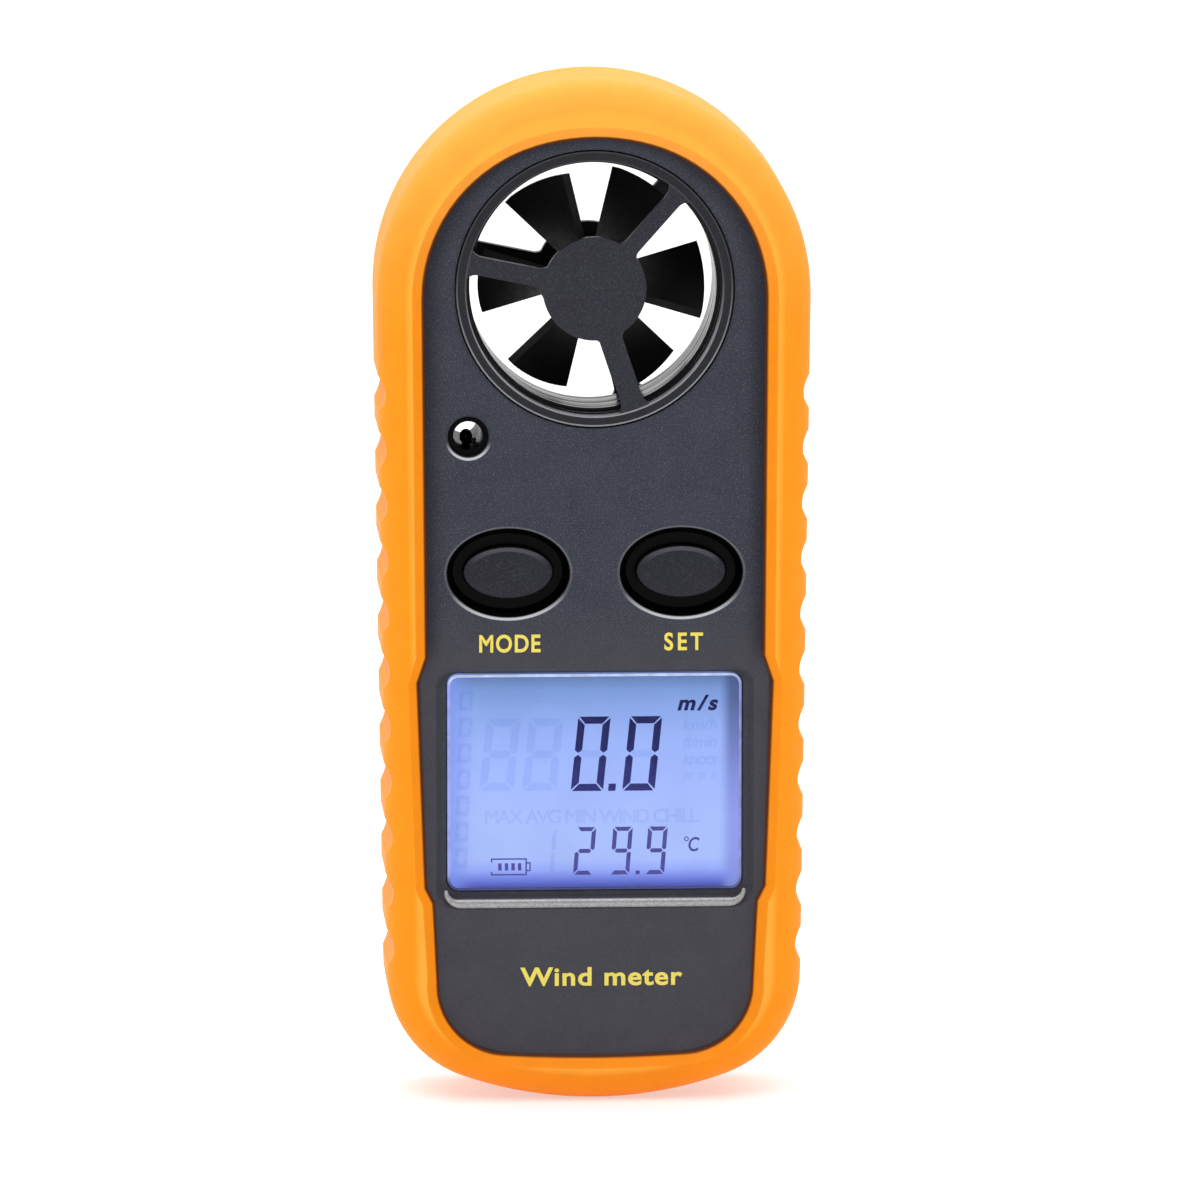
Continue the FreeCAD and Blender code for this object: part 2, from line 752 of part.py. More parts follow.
def make_front_case():
    """Front tray with the fan opening, sensor well, key dishes, display recess, posts and pillars."""
    tray = shell("front_tray", ("case_front", "0"), ("inner_front", "0"), "case_front")
    solids = [tray]
    holes = [
        rod("front_bezel_hole", "bezel_radius", ("case_front", "inner_front"), z="fan_z"),
        cone("front_bezel_edge", ("bezel_radius + edge_break", "bezel_radius"),
             ("case_front", "case_front + edge_break"), "0", "fan_z"),
    ]
    solids.append(rod("front_well_wall", "well_outer", ("case_front + case_wall / 2", "0"), "well_x",
                      "well_z"))
    holes += well_holes("front_well", "case_front", "case_front + well_lip", "0")
    holes.append(polar_block("front_lead_slot", "lead_angle", ("0", "well_outer + 0.5"),
                             ("-lead_slot / 2", "lead_slot / 2"),
                             ("board_front - 2 * lead_slot / 3", "0"), "well_x", "bead_z"))
    for side, x in KEYS.items():
        solids.append(oval_prism(f"{side}_dish_boss", "dish_long + 2 * dish_wall",
                                 "dish_short + 2 * dish_wall",
                                 ("case_front + case_wall / 2", "key_stop"), x, "key_z"))
        holes.append(loft(
            f"{side}_dish",
            oval(f"{side}_dish_rim", "dish_long + edge_break", "dish_short + edge_break", "case_front", x,
                 "key_z"),
            oval(f"{side}_dish_brow", "dish_long - edge_break", "dish_short - edge_break",
                 "case_front + edge_break", x, "key_z"),
            oval(f"{side}_dish_floor", "dish_floor_long", "dish_floor_short", "case_front + dish_depth",
                 x, "key_z"),
        ))
        holes.append(oval_prism(f"{side}_key_hole", "key_long + 2 * key_play", "key_short + 2 * key_play",
                                ("case_front", "key_stop"), x, "key_z"))
    holes += window_holes()
    for index, (x, z) in enumerate(CASE_SCREWS):
        solids.append(rod(f"front_pillar_{index}", "pillar_radius", ("case_front + case_wall / 2", "0"),
                          x, z))
        holes.append(rod(f"front_pilot_{index}", "screw_shank", ("-screw_depth - pilot_spare", "0"), x, z))
    for index, (x, z) in enumerate(BOARD_SCREWS):
        solids.append(rod(f"post_{index}", "post_radius", ("case_front + case_wall / 2", "board_front"),
                          x, z))
        holes.append(rod(f"post_pilot_{index}", "board_screw",
                         ("board_front - post_pilot", "board_front"), x, z))
    return node("front_case", cut("front_case_cut", fuse("front_case_solid", *solids), *holes))


def well_holes(name, face, lip, parting):
    """The sensor well's stepped hole through one half of the case."""
    low, high = (face, lip) if number(face) < number(lip) else (lip, face)
    bore = (lip, parting) if number(lip) < number(parting) else (parting, lip)
    sign = "+" if number(face) < number(lip) else "-"
    edge = (face, f"{face} {sign} edge_break")
    wide = ("well_mouth + edge_break", "well_mouth")
    if sign == "-":
        edge, wide = edge[::-1], wide[::-1]
    return [
        rod(name + "_mouth", "well_mouth", (low, high), "well_x", "well_z"),
        rod(name + "_bore", "well_bore", bore, "well_x", "well_z"),
        cone(name + "_edge", wide, edge, "well_x", "well_z"),
    ]


def window_holes():
    """The sloping recess round the display and the hole for its window."""
    half = "window_width / 2 + recess_side"
    high = "window_z + window_height / 2 + recess_head"
    low = "window_z - window_height / 2 - recess_sill"
    middle = f"(({high}) + ({low})) / 2"
    floor_high = f"({high}) - recess_slope"
    floor_low = f"({low}) + sill_slope"
    rim = outline(sketch("recess_rim", "case_front"),
                  rounded(f"2 * ({half})", f"({high}) - ({low})", "recess_corner", "0", middle))
    floor = outline(sketch("recess_floor", "case_front + recess_depth"),
                    rounded(f"2 * ({half} - recess_slope)", f"({floor_high}) - ({floor_low})",
                            "recess_corner - recess_slope / 2", "0",
                            f"(({floor_high}) + ({floor_low})) / 2"))
    hole = prism("window_hole",
                 rounded("window_width + 2 * window_gap", "window_height + 2 * window_gap",
                         "window_corner + window_gap", "0", "window_z"), ("case_front", "inner_front"))
    return [loft("recess", rim, floor), hole]


def make_rear_case():
    """Rear tray with the fan opening, sensor well, battery cup with its collar, and screw pillars."""
    tray = shell("rear_tray", ("0", "case_back"), ("0", "inner_back"), "case_back")
    cell = {"x": "0", "z": "cell_z"}
    solids = [
        tray,
        rod("rear_well_wall", "well_outer", ("0", "case_back - case_wall / 2"), "well_x", "well_z"),
        rod("cup_wall", "cup_inner + cup_wall", ("cup_front", "case_back - case_wall / 2"), **cell),
    ]
    holes = [
        rod("rear_bezel_hole", "bezel_radius", ("inner_back", "case_back"), z="fan_z"),
        cone("rear_bezel_edge", ("bezel_radius", "bezel_radius + edge_break"),
             ("case_back - edge_break", "case_back"), "0", "fan_z"),
        rod("cup_hollow", "cup_inner", ("cup_base", "inner_back - collar_thick"), **cell),
        rod("collar_hole", "collar_radius", ("inner_back - collar_thick", "inner_back"), **cell),
        rod("cover_seat_hole", "cover_radius + cover_gap", ("inner_back", "case_back"), **cell),
        cone("cover_seat_edge", ("cover_radius + cover_gap", "cover_radius + cover_gap + edge_break"),
             ("case_back - edge_break", "case_back"), **cell),
        block("plus_leg_slot",
              ("-plus_width / 2 - contact_slot_play", "plus_width / 2 + contact_slot_play"),
              ("cup_front", "cup_base"),
              ("cell_z + cell_radius - contact_slot_play",
               "cell_z + cell_radius + contact_gap + contact_thick + contact_slot_play")),
        block("minus_leg_slot",
              ("-minus_reach - contact_slot_play", "-minus_reach + contact_thick + contact_slot_play"),
              ("cup_front", "cup_base"),
              ("cell_z - minus_width / 2 - contact_slot_play",
               "cell_z + minus_width / 2 + contact_slot_play")),
    ]
    for name, angle in (("first", "-cover_turn"), ("second", "180 - cover_turn")):
        holes.append(lug(f"{name}_lug_slot", angle, "cover_lug + lug_play * 2", "lug_angle / 2 + lug_clear",
                         ("inner_back - collar_thick", "inner_back")))
    holes += well_holes("rear_well", "case_back", "case_back - well_lip", "0")
    for index, (x, z) in enumerate(CASE_SCREWS):
        solids.append(rod(f"rear_pillar_{index}", "pillar_radius", ("0", "case_back - case_wall / 2"), x,
                          z))
        holes.append(rod(f"rear_clear_{index}", "screw_hole", ("0", "case_back"), x, z))
        holes.append(rod(f"rear_sink_{index}", "screw_sink",
                         ("case_back - screw_sink_depth", "case_back"), x, z))
    return node("rear_case", cut("rear_case_cut", fuse("rear_case_solid", *solids), *holes))


def lug(name, angle, reach, half_angle, y):
    """A bayonet lug, or the slot that lets it through: a sector whose inner side is a chord."""
    inner = "(collar_radius - neck_wall)"
    points = []
    for turn, radius, arc in ((f"{angle} - ({half_angle})", reach, reach),
                              (f"{angle} + ({half_angle})", reach, None),
                              (f"{angle} + ({half_angle})", inner, None),
                              (f"{angle} - ({half_angle})", inner, None)):
        points.append((f"({radius}) * cos({turn})", f"cell_z + ({radius}) * sin({turn})", arc))
    return prism(name, points, y)


# ---------------------------------------------------------------- fan

def make_guards():
    """Front and rear grilles: a ring with a hidden flange, three spokes, and a hub with a bearing boss."""
    face, back = "-guard_face", "-guard_back"
    solids = [
        rod("guard_ring", "guard_radius", (face, "inner_front"), z="fan_z"),
        rod("guard_flange_disc", "guard_flange", ("inner_front", "-duct_end"), z="fan_z"),
    ]
    spokes = []
    for side, (angle, half) in SPOKES.items():
        near, far = "(guard_hub - guard_step)", "(guard_inner + spoke_bed)"
        wide, foot = f"({half} + spoke_root)", f"({half} + spoke_foot)"
        marks = [
            (near, f"-{wide}", "-spoke_root"), (f"{near} + spoke_root", f"-({half})", None),
            (f"{far} - spoke_foot", f"-({half})", "-spoke_foot"), (far, f"-{foot}", None),
            (far, foot, "-spoke_foot"), (f"{far} - spoke_foot", half, None),
            (f"{near} + spoke_root", half, "-spoke_root"), (near, wide, None),
        ]
        points = [(*polar(angle, along, across), radius) for along, across, radius in marks]
        spokes.append(prism(f"spoke_{side}", points, (face, back)))
    ring = cut("guard_rim", fuse("guard_rim_solid", *solids),
               rod("guard_throat", "guard_inner", (face, "-duct_end"), z="fan_z"))
    hub = rod("guard_hub_disc", "guard_hub", (face, back), z="fan_z")
    boss = rod("guard_boss", "boss_radius", (back, "-boss_end"), z="fan_z")
    nest = rod("bush_nest", "bush_radius", (back, "-boss_end"), z="fan_z")
    front = cut("front_guard_cut", fuse("front_guard_solid", ring, hub, boss, *spokes), nest)
    rear = doc.addObject("Part::Mirroring", "rear_guard_mirror")
    rear.Source = front
    rear.Normal = FreeCAD.Vector(0, 1, 0)
    node("front_guard", front)
    node("rear_guard", rear)


def make_duct():
    """The tube that the air runs through, stepped at both mouths and notched for the sensor's lead."""
    wall = rod("duct_wall", "duct_outer", ("-duct_end", "duct_end"), z="fan_z")
    tools = [
        rod("duct_throat", "duct_inner", ("-duct_end", "duct_end"), z="fan_z"),
        rod("duct_front_mouth", "duct_mouth", ("-duct_end", "-duct_end + duct_mouth_depth"), z="fan_z"),
        rod("duct_rear_mouth", "duct_mouth", ("duct_end - duct_mouth_depth", "duct_end"), z="fan_z"),
        polar_block("duct_notch", LOW_SPOKE, ("duct_inner - 1", "duct_outer + 1"),
                    ("-duct_notch_width / 2", "duct_notch_width / 2"),
                    ("duct_end - duct_notch_depth", "duct_end")),
    ]
    return node("wind_duct", cut("duct_cut", wall, *tools))


def blade_shape():
    """One twisted blade about the Y axis, centred on +X."""
    sections = []
    count = 5
    inner, outer = number("rotor_hub - blade_sink"), number("blade_tip")
    half = number("blade_thick") / 2
    for index in range(count):
        share = index / (count - 1) - 0.5
        y = share * number("blade_depth")
        turn = math.radians(share * number("blade_sweep"))
        corners = []
        for along, across in ((inner, -half), (outer, -half), (outer, half), (inner, half), (inner, -half)):
            x = along * math.cos(turn) - across * math.sin(turn)
            z = along * math.sin(turn) + across * math.cos(turn)
            corners.append(FreeCAD.Vector(x, y, z))
        sections.append(Part.makePolygon(corners))
    return Part.makeLoft(sections, True, False)


def make_rotor():
    """Impeller, its shaft and the ring magnet that the speed sensor counts."""
    half = "(blade_depth / 2 + rotor_over)"
    hub = rod("rotor_hub_rod", "rotor_hub", (f"-{half} + rotor_nose", half), z="fan_z")
    nose = cone("rotor_hub_nose", ("rotor_hub - rotor_nose", "rotor_hub"),
                (f"-{half}", f"-{half} + rotor_nose"),
                "0", "fan_z")
    centre = FreeCAD.Vector(0, 0, number("fan_z"))
    blades = []
    for index in range(int(number("blade_count"))):
        turn = FreeCAD.Rotation(FreeCAD.Vector(0, 1, 0), -360 / number("blade_count") * index)
        blades.append(free_shape(f"blade_{index}", blade_shape(), FreeCAD.Placement(centre, turn)))
    bore = rod("rotor_bore", "shaft_radius", (f"-{half}", half), z="fan_z")
    node("impeller", cut("impeller_cut", fuse("impeller_solid", hub, nose, *blades), bore))
    end = "(boss_end + bush_length - shaft_end_play)"
    node("impeller_shaft", rod("shaft_rod", "shaft_radius", (f"-{end}", end), z="fan_z"))
    magnet = rod("magnet_disc", "magnet_radius", (half, f"{half} + magnet_thick"), z="fan_z")
    hole = rod("magnet_hole", "shaft_radius", (half, f"{half} + magnet_thick"), z="fan_z")
    node("rotor_magnet", cut("magnet_cut", magnet, hole))


def make_bearings():
    """A bush in each guard's boss, with running play on the shaft."""
    for side, y in (("front", ("-boss_end - bush_length", "-boss_end")),
                    ("rear", ("boss_end", "boss_end + bush_length"))):
        outer = rod(f"{side}_bush_outer", "bush_radius", y, z="fan_z")
        inner = rod(f"{side}_bush_bore", "shaft_radius + shaft_play", y, z="fan_z")
        node(f"{side}_bearing", cut(f"{side}_bush", outer, inner))


def make_speed_sensor():
    """A Hall chip on the rear hub, and its lead along the low spoke and down to the board."""
    start = "boss_radius + hall_gap"
    node("hall_sensor", polar_block("hall_chip", LOW_SPOKE, (start, f"{start} + hall_length"),
                                    ("-hall_width / 2", "hall_width / 2"),
                                    ("guard_back - hall_thick", "guard_back")))
    angle = math.radians(number(LOW_SPOKE))
    radius = number("sensor_lead_radius")
    on_spoke = "guard_back - sensor_lead_radius - sensor_lead_gap"
    in_notch = "duct_end - sensor_lead_radius - sensor_lead_dip"
    run = [
        (f"{start} + hall_length", on_spoke),
        ("duct_inner - sensor_lead_turn", on_spoke),
        ("duct_inner", in_notch),
        ("duct_outer + sensor_lead_out", in_notch),
        ("duct_outer + 2 * sensor_lead_out", f"{in_notch} - sensor_lead_drop"),
    ]
    points = []
    for along, y in run:
        points.append((number(along) * math.cos(angle), number(y),
                       number("fan_z") + number(along) * math.sin(angle)))
    landing_x, landing_z = points[-1][0], number("neck_top - sensor_pad_inset")
    points.append((landing_x, number("board_back + sensor_pad_inset"), landing_z))
    points.append((landing_x, number("board_back"), landing_z))
    node("hall_sensor_lead", free_shape("hall_lead", tube(points, radius)))


# ---------------------------------------------------------------- air temperature sensor

def make_temperature_sensor():
    """A thermistor bead hanging in the well on two stiff leads that are soldered to the board."""
    bead = doc.addObject("Part::Ellipsoid", "bead")
    bind(bead, Radius1="bead_length / 2", Radius2="bead_radius", Radius3="bead_radius")
    place(bead, "well_x", "board_front - lead_radius", "bead_z")
    node("temperature_bead", bead)
    angle = math.radians(number("lead_angle"))
    ahead = FreeCAD.Vector(math.cos(angle), 0, math.sin(angle))
    across = FreeCAD.Vector(-math.sin(angle), 0, math.cos(angle))
    centre = FreeCAD.Vector(number("well_x"), number("board_front - lead_radius"), number("bead_z"))
    leads = []
    for index, side in enumerate((-1, 1)):
        start = centre + across * side * number("lead_pitch") / 2
        rod_shape = Part.makeCylinder(number("lead_radius"), number("lead_length"), start, ahead)
        leads.append(free_shape(f"lead_{index}", rod_shape))
    node("temperature_leads", cut("leads_cut", group("leads_pair", *leads), bead))


# ---------------------------------------------------------------- keys

def make_keys():
    """Two oval keys with a domed top, a flange that stops them, and a switch under each."""
    for side, x in KEYS.items():
        crown = "case_front + key_sink"
        stem = oval_prism(f"{side}_stem", "key_long", "key_short", (crown, "key_stop + key_slack"), x,
                          "key_z")
        dome = doc.addObject("Part::Sphere", f"{side}_dome")
        bind(dome, Radius="key_dome")
        place(dome, x, f"{crown} + key_dome", "key_z")
        flange = oval_prism(f"{side}_flange", "key_long + 2 * key_flange", "key_short + 2 * key_flange",
                            ("key_stop + key_slack", "key_stop + key_slack + key_flange_thick"), x, "key_z")
        flange_back = "key_stop + key_slack + key_flange_thick"
        nub = rod(f"{side}_nub", "plunger_radius", (flange_back, f"{flange_back} + key_nub"), x, "key_z")
        node(f"{side}_key", common(f"{side}_crown", fuse(f"{side}_key_solid", stem, flange, nub), dome))
        top = f"{flange_back} + key_nub + key_travel + switch_gap"
        can = "board_front - switch_height"
        base = block(f"{side}_switch_can", (f"{x} - switch_size / 2", f"{x} + switch_size / 2"),
                     (can, "board_front"), ("key_z - switch_size / 2", "key_z + switch_size / 2"))
        plunger = rod(f"{side}_plunger", "plunger_radius", (top, can), x, "key_z")
        node(f"{side}_switch", fuse(f"{side}_switch_solid", base, plunger))


# ---------------------------------------------------------------- display

def make_window():
    """Clear window: a pane that stands in the case's hole and a flange behind it."""
    body = doc.addObject("PartDesign::Body", "window_body")
    face = "case_front + recess_depth - window_proud"
    pane = pad(body, "window_pane", face,
               rounded("window_width", "window_height", "window_corner", "0", "window_z"),
               f"inner_front - ({face})")
    doc.recompute()
    rim = [name for name, _ in edges_at(pane.Shape, number(face))]
    dress(body, "PartDesign::Fillet", "window_edge_round", pane, rim, Radius="window_edge")
    pad(body, "window_flange_pad", "inner_front",
        rounded("window_width + 2 * window_flange", "window_height + 2 * window_flange", "window_corner",
                "0", "window_z"),
        "window_flange_thick")
    return node("display_window", body)


def frame_ring(name, outer, inner, corner, y):
    """A rectangular frame: outer and inner are width and height pairs."""
    solid = prism(name + "_outer", rounded(*outer, corner, "0", "window_z"), y)
    hole = prism(name + "_inner", rounded(*inner, corner, "0", "window_z"), y)
    return cut(name, solid, hole)


def make_display():
    """Gasket, liquid crystal glass, light guide with its lamps, contact strips and their frame."""
    glass_front = "pane_back + gasket_thick"
    glass_back = f"{glass_front} + glass_thick"
    guide_back = f"{glass_back} + guide_thick"
    flange = ("window_width + 2 * window_flange", "window_height + 2 * window_flange")
    node("window_gasket", frame_ring("gasket", flange, ("window_width", "window_height"), "window_corner",
                                     ("pane_back", glass_front)))
    node("lcd_glass",
         prism("glass", rounded("glass_width", "glass_height", "glass_corner", "0", "window_z"),
                            (glass_front, glass_back)))
    guide = prism("guide", rounded("guide_width", "guide_height", "guide_corner", "0", "window_z"),
                  (glass_back, guide_back))
    node("backlight_guide", guide)
    lamps = []
    for index, x in enumerate(("-guide_width / 2 - led_size", "guide_width / 2")):
        lamps.append(block(f"lamp_{index}", (x, f"{x} + led_size"),
                           (f"{guide_back} - led_size", guide_back),
                           ("window_z - led_size", "window_z + led_size")))
    node("backlight_leds", group("lamps", *lamps))
    inner = ("glass_width + 2 * holder_gap", "glass_height + 2 * holder_gap")
    outer = tuple(f"{size} + 2 * holder_wall" for size in inner)
    ring = frame_ring("holder_ring", outer, inner, "holder_corner", (glass_front, "board_front"))
    shelf = block("holder_shelf", (f"-({inner[0]}) / 2", f"({inner[0]}) / 2"),
                  (guide_back, f"{guide_back} + holder_shelf"),
                  ("window_z - guide_height / 2", "window_z + guide_height / 2"))
    node("lcd_holder", fuse("holder", ring, shelf))
    strips = []
    for index, side in enumerate(("-", "")):
        middle = f"window_z {side or '+'} (guide_height / 2 + strip_gap + strip_width / 2)"
        strips.append(block(f"strip_{index}", ("-strip_length / 2", "strip_length / 2"),
                            (glass_back, "board_front"),
                            (f"{middle} - strip_width / 2", f"{middle} + strip_width / 2")))
    node("contact_strips", group("strips", *strips))


# ---------------------------------------------------------------- circuit board

def make_board():
    """Main board: a wide part behind the display and keys and a neck up to the sensors."""
    body = doc.addObject("PartDesign::Body", "board_body")
    wide, neck, corner = "board_width / 2", "neck_width / 2", "board_corner"
    pad(body, "board_plate", "board_front", [
        (f"-{wide} + {corner}", "board_bottom", None),
        (f"{wide} - {corner}", "board_bottom", corner),
        (wide, f"board_bottom + {corner}", None),
        (wide, f"board_top - {corner}", corner),
        (f"{wide} - {corner}", "board_top", None),
        (neck, "board_top", None),
        (neck, f"neck_top - {corner}", corner),
        (f"{neck} - {corner}", "neck_top", None),
        (f"-{neck} + {corner}", "neck_top", corner),
        (f"-{neck}", f"neck_top - {corner}", None),
        (f"-{neck}", "board_top", None),
        (f"-{wide} + {corner}", "board_top", corner),
        (f"-{wide}", f"board_top - {corner}", None),
        (f"-{wide}", f"board_bottom + {corner}", corner),
    ], "board_thick")
    holes = body.newObject("PartDesign::Pocket", "board_holes")
    marks = sketch("board_hole_marks", "board_front", body)
    for x, z in BOARD_SCREWS:
        circle(marks, x, z, "board_hole")
    holes.Profile = marks
    bind(holes, Length="board_thick")
    node("main_board", body)

    chip = block("chip", ("-chip_size / 2", "chip_size / 2"), ("board_back", "board_back + chip_thick"),
                 ("chip_z - chip_size / 2", "chip_z + chip_size / 2"))
    node("driver_chip", chip)
    can = doc.addObject("Part::Cylinder", "crystal_can")
    bind(can, Radius="crystal_radius", Height="crystal_length")
    place(can, "crystal_x", "board_back + crystal_radius", "crystal_z")
    node("timing_crystal", can)
    chips = []
    for index in range(int(number("passive_count"))):
        x = f"(passive_x + {index} * passive_pitch)"
        chips.append(block(f"passive_{index}", (x, f"{x} + passive_width"),
                           ("board_back", "board_back + passive_thick"),
                           ("passive_z", "passive_z + passive_length")))
    node("passives", group("passive_row", *chips))


def screw(name, x, z, head, head_y, shank, tip, slot):
    """A cross-headed screw whose head faces the back."""
    solid = fuse(name + "_solid", rod(name + "_head", head, head_y, x, z),
                 rod(name + "_shank", shank, (tip, head_y[0]), x, z))
    top = (f"{head_y[1]} - {slot} * screw_cross_reach", head_y[1])
    long, thin = f"{head} * screw_cross_reach", f"{slot} / 2"
    bars = [
        block(name + "_bar_a", (f"{x} - {long}", f"{x} + {long}"), top, (f"{z} - {thin}", f"{z} + {thin}")),
        block(name + "_bar_b", (f"{x} - {thin}", f"{x} + {thin}"), top, (f"{z} - {long}", f"{z} + {long}")),
    ]
    return cut(name, solid, *bars)


def make_screws():
    head_y = ("case_back - screw_sink_depth", "case_back - screw_sink_depth + screw_head_thick")
    case = [
        screw(f"case_screw_{index}", x, z, "screw_head", head_y, "screw_shank", "-screw_depth",
              "screw_cross")
        for index, (x, z) in enumerate(CASE_SCREWS)
    ]
    node("case_screws", group("case_screw_set", *case))
    head_y = ("board_back", "board_back + board_screw_head_thick")
    board = [
        screw(f"board_screw_{index}", x, z, "board_screw_head", head_y, "board_screw",
              "board_front - post_pilot + pilot_spare", "screw_cross")
        for index, (x, z) in enumerate(BOARD_SCREWS)
    ]
    node("board_screws", group("board_screw_set", *board))


# ---------------------------------------------------------------- battery

def make_battery():
    """Coin cell, the two contacts that reach the board, and the bayonet cover with its seal."""
    cell = {"x": "0", "z": "cell_z"}
    step = "(cell_front + cell_step)"
    can = rod("cell_can", "cell_radius", (step, "cell_back"), **cell)
    cap = rod("cell_cap", "cell_radius - cell_step_in", ("cell_front", step), **cell)
    node("coin_cell", fuse("cell_solid", can, cap))

    low, high = "90 - contact_spread", "90 + contact_spread"
    inner, outer = "(cell_radius + contact_gap)", "(cell_radius + contact_gap + contact_thick)"
    sector = []
    for radius, angle, arc in ((outer, low, outer), (outer, high, None), (inner, high, f"-{inner}"),
                               (inner, low, None)):
        sector.append((f"{radius} * cos({angle})", f"cell_z + {radius} * sin({angle})", arc))
    side = prism("plus_side", sector, ("cup_base", "cell_back - cell_step"))
    leg = block("plus_leg", ("-plus_width / 2", "plus_width / 2"), ("board_back", "cup_base + cell_stand"),
                (f"cell_z + {inner} - contact_gap", f"cell_z + {outer} - contact_gap"))
    node("battery_contact_plus", fuse("plus_contact", side, leg))

    half = "minus_width / 2"
    leg = block("minus_leg", ("-minus_reach", "-minus_reach + contact_thick"), ("board_back", "cup_base"),
                (f"cell_z - {half}", f"cell_z + {half}"))
    leaf = block("minus_leaf", ("-minus_reach", "minus_reach / 2"),
                 ("cup_base", "cup_base + contact_thick"),
                 (f"cell_z - {half}", f"cell_z + {half}"))
    button = rod("minus_button", "minus_width / 2", ("cup_base", "cell_front"), **cell)
    node("battery_contact_minus", fuse("minus_contact", leg, leaf, button))

    lug_y = ("inner_back - collar_thick - lug_play - lug_thick", "inner_back - collar_thick - lug_play")
    disc = rod("cover_disc", "cover_radius", ("cover_seat", "case_back - edge_break"), **cell)
    rim = cone("cover_rim", ("cover_radius", "cover_radius - edge_break"),
               ("case_back - edge_break", "case_back"), **cell)
    neck_y = ("cell_back + cover_rest", "cover_seat")
    neck = rod("cover_neck_rod", "cover_neck", neck_y, **cell)
    hollow = rod("cover_hollow", "cover_neck - neck_wall", neck_y, **cell)
    lugs = [
        lug(f"cover_lug_{name}", angle, "cover_lug", "lug_angle / 2", lug_y)
        for name, angle in (("first", "0"), ("second", "180"))
    ]
    slot = prism("coin_slot",
                 rounded("coin_slot_length", "coin_slot_width", "coin_slot_width * 0.45", "0", "cell_z"),
                 ("case_back - coin_slot_depth", "case_back"))
    node("battery_cover", cut("cover_cut", fuse("cover_solid", disc, rim, neck, *lugs), hollow, slot))
    seal = rod("seal_disc", "seal_outer", ("inner_back", "cover_seat"), **cell)
    node("battery_seal",
         cut("seal_cut", seal, rod("seal_hole", "seal_inner", ("inner_back", "cover_seat"), **cell)))


# ---------------------------------------------------------------- build, check and write

make_boot()
make_front_case()
make_rear_case()
make_guards()
make_duct()
make_rotor()
make_bearings()
make_speed_sensor()
make_temperature_sensor()
make_keys()
make_window()
make_display()
make_board()
make_screws()
make_battery()
doc.recompute()

for item in doc.Objects:
    if "Invalid" in item.State or "Error" in item.State:
        raise SystemExit(f"{item.Name} failed: {item.getStatusString()}")
for name, item in nodes.items():
    if item.Shape.isNull() or not item.Shape.isValid() or item.Shape.Volume <= 0:
        raise SystemExit(f"{name} has no valid shape")

os.makedirs("parts", exist_ok=True)
for name, item in nodes.items():
    item.Shape.exportStep(f"parts/{name}.step")
    print(f"{name}: {len(item.Shape.Solids)} solid(s), {item.Shape.Volume:.1f} cubic millimetres")
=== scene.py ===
import json
import math

import bmesh
import bpy
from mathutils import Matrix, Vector


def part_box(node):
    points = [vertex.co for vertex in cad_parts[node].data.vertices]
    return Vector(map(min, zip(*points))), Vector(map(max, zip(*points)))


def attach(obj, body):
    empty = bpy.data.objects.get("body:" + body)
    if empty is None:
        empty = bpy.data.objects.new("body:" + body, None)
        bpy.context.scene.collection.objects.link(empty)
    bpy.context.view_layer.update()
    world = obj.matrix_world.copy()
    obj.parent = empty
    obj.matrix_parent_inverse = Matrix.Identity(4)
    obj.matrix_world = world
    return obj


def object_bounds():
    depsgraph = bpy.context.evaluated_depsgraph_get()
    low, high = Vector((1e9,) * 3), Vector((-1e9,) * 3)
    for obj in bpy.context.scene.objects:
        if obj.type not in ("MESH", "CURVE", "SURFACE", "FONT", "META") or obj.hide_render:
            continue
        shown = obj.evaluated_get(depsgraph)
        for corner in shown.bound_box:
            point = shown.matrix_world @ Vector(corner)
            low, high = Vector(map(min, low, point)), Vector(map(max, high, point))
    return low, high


# A handheld vane wind meter in a rubber boot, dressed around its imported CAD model.
# The display looks along -Y, +Z runs up towards the fan, +X is to the reader's right.
# Sizes and places are in mm from the model's origin, and only the studio's are in metres.

MM = 0.001
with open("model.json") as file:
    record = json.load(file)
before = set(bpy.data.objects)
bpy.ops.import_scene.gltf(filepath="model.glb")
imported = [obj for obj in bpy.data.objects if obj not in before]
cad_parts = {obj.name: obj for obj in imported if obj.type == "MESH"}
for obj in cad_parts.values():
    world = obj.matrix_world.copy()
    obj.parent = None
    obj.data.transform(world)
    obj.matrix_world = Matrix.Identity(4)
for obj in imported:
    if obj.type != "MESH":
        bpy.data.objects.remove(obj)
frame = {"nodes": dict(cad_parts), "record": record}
cad_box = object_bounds()
NODES = frame["nodes"]

# The middle of the fan, of the bead's well and of the right-hand key, and the boxes of what carries marks
FAN_Z = sum(v.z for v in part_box("impeller_shaft")) / 2 / MM
BEAD_DROP = 0.8
WELL = (sum(v.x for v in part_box("temperature_bead")) / 2 / MM,
        sum(v.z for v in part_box("temperature_bead")) / 2 / MM + BEAD_DROP)
KEY_X = sum(v.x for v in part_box("set_key")) / 2 / MM
KEY_Z = sum(v.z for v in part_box("set_key")) / 2 / MM
PANE_LOW, PANE_HIGH = (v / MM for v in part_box("display_window"))
GLASS_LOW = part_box("lcd_glass")[0] / MM
CASE_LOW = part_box("front_case")[0] / MM
REAR_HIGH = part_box("rear_case")[1] / MM
COVER_LOW, COVER_HIGH = (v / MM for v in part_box("battery_cover"))
COVER_Z = (COVER_LOW.z + COVER_HIGH.z) / 2

# The studio's floor touches the meter's foot, in metres
FLOOR_Z = cad_box[0].z

# The boot's side grips: height of the top one, their spacing and their number
GRIP_FIRST, GRIP_PITCH, GRIP_COUNT = 21.9, 6.11, 11


# ---------------------------------------------------------------- node helpers

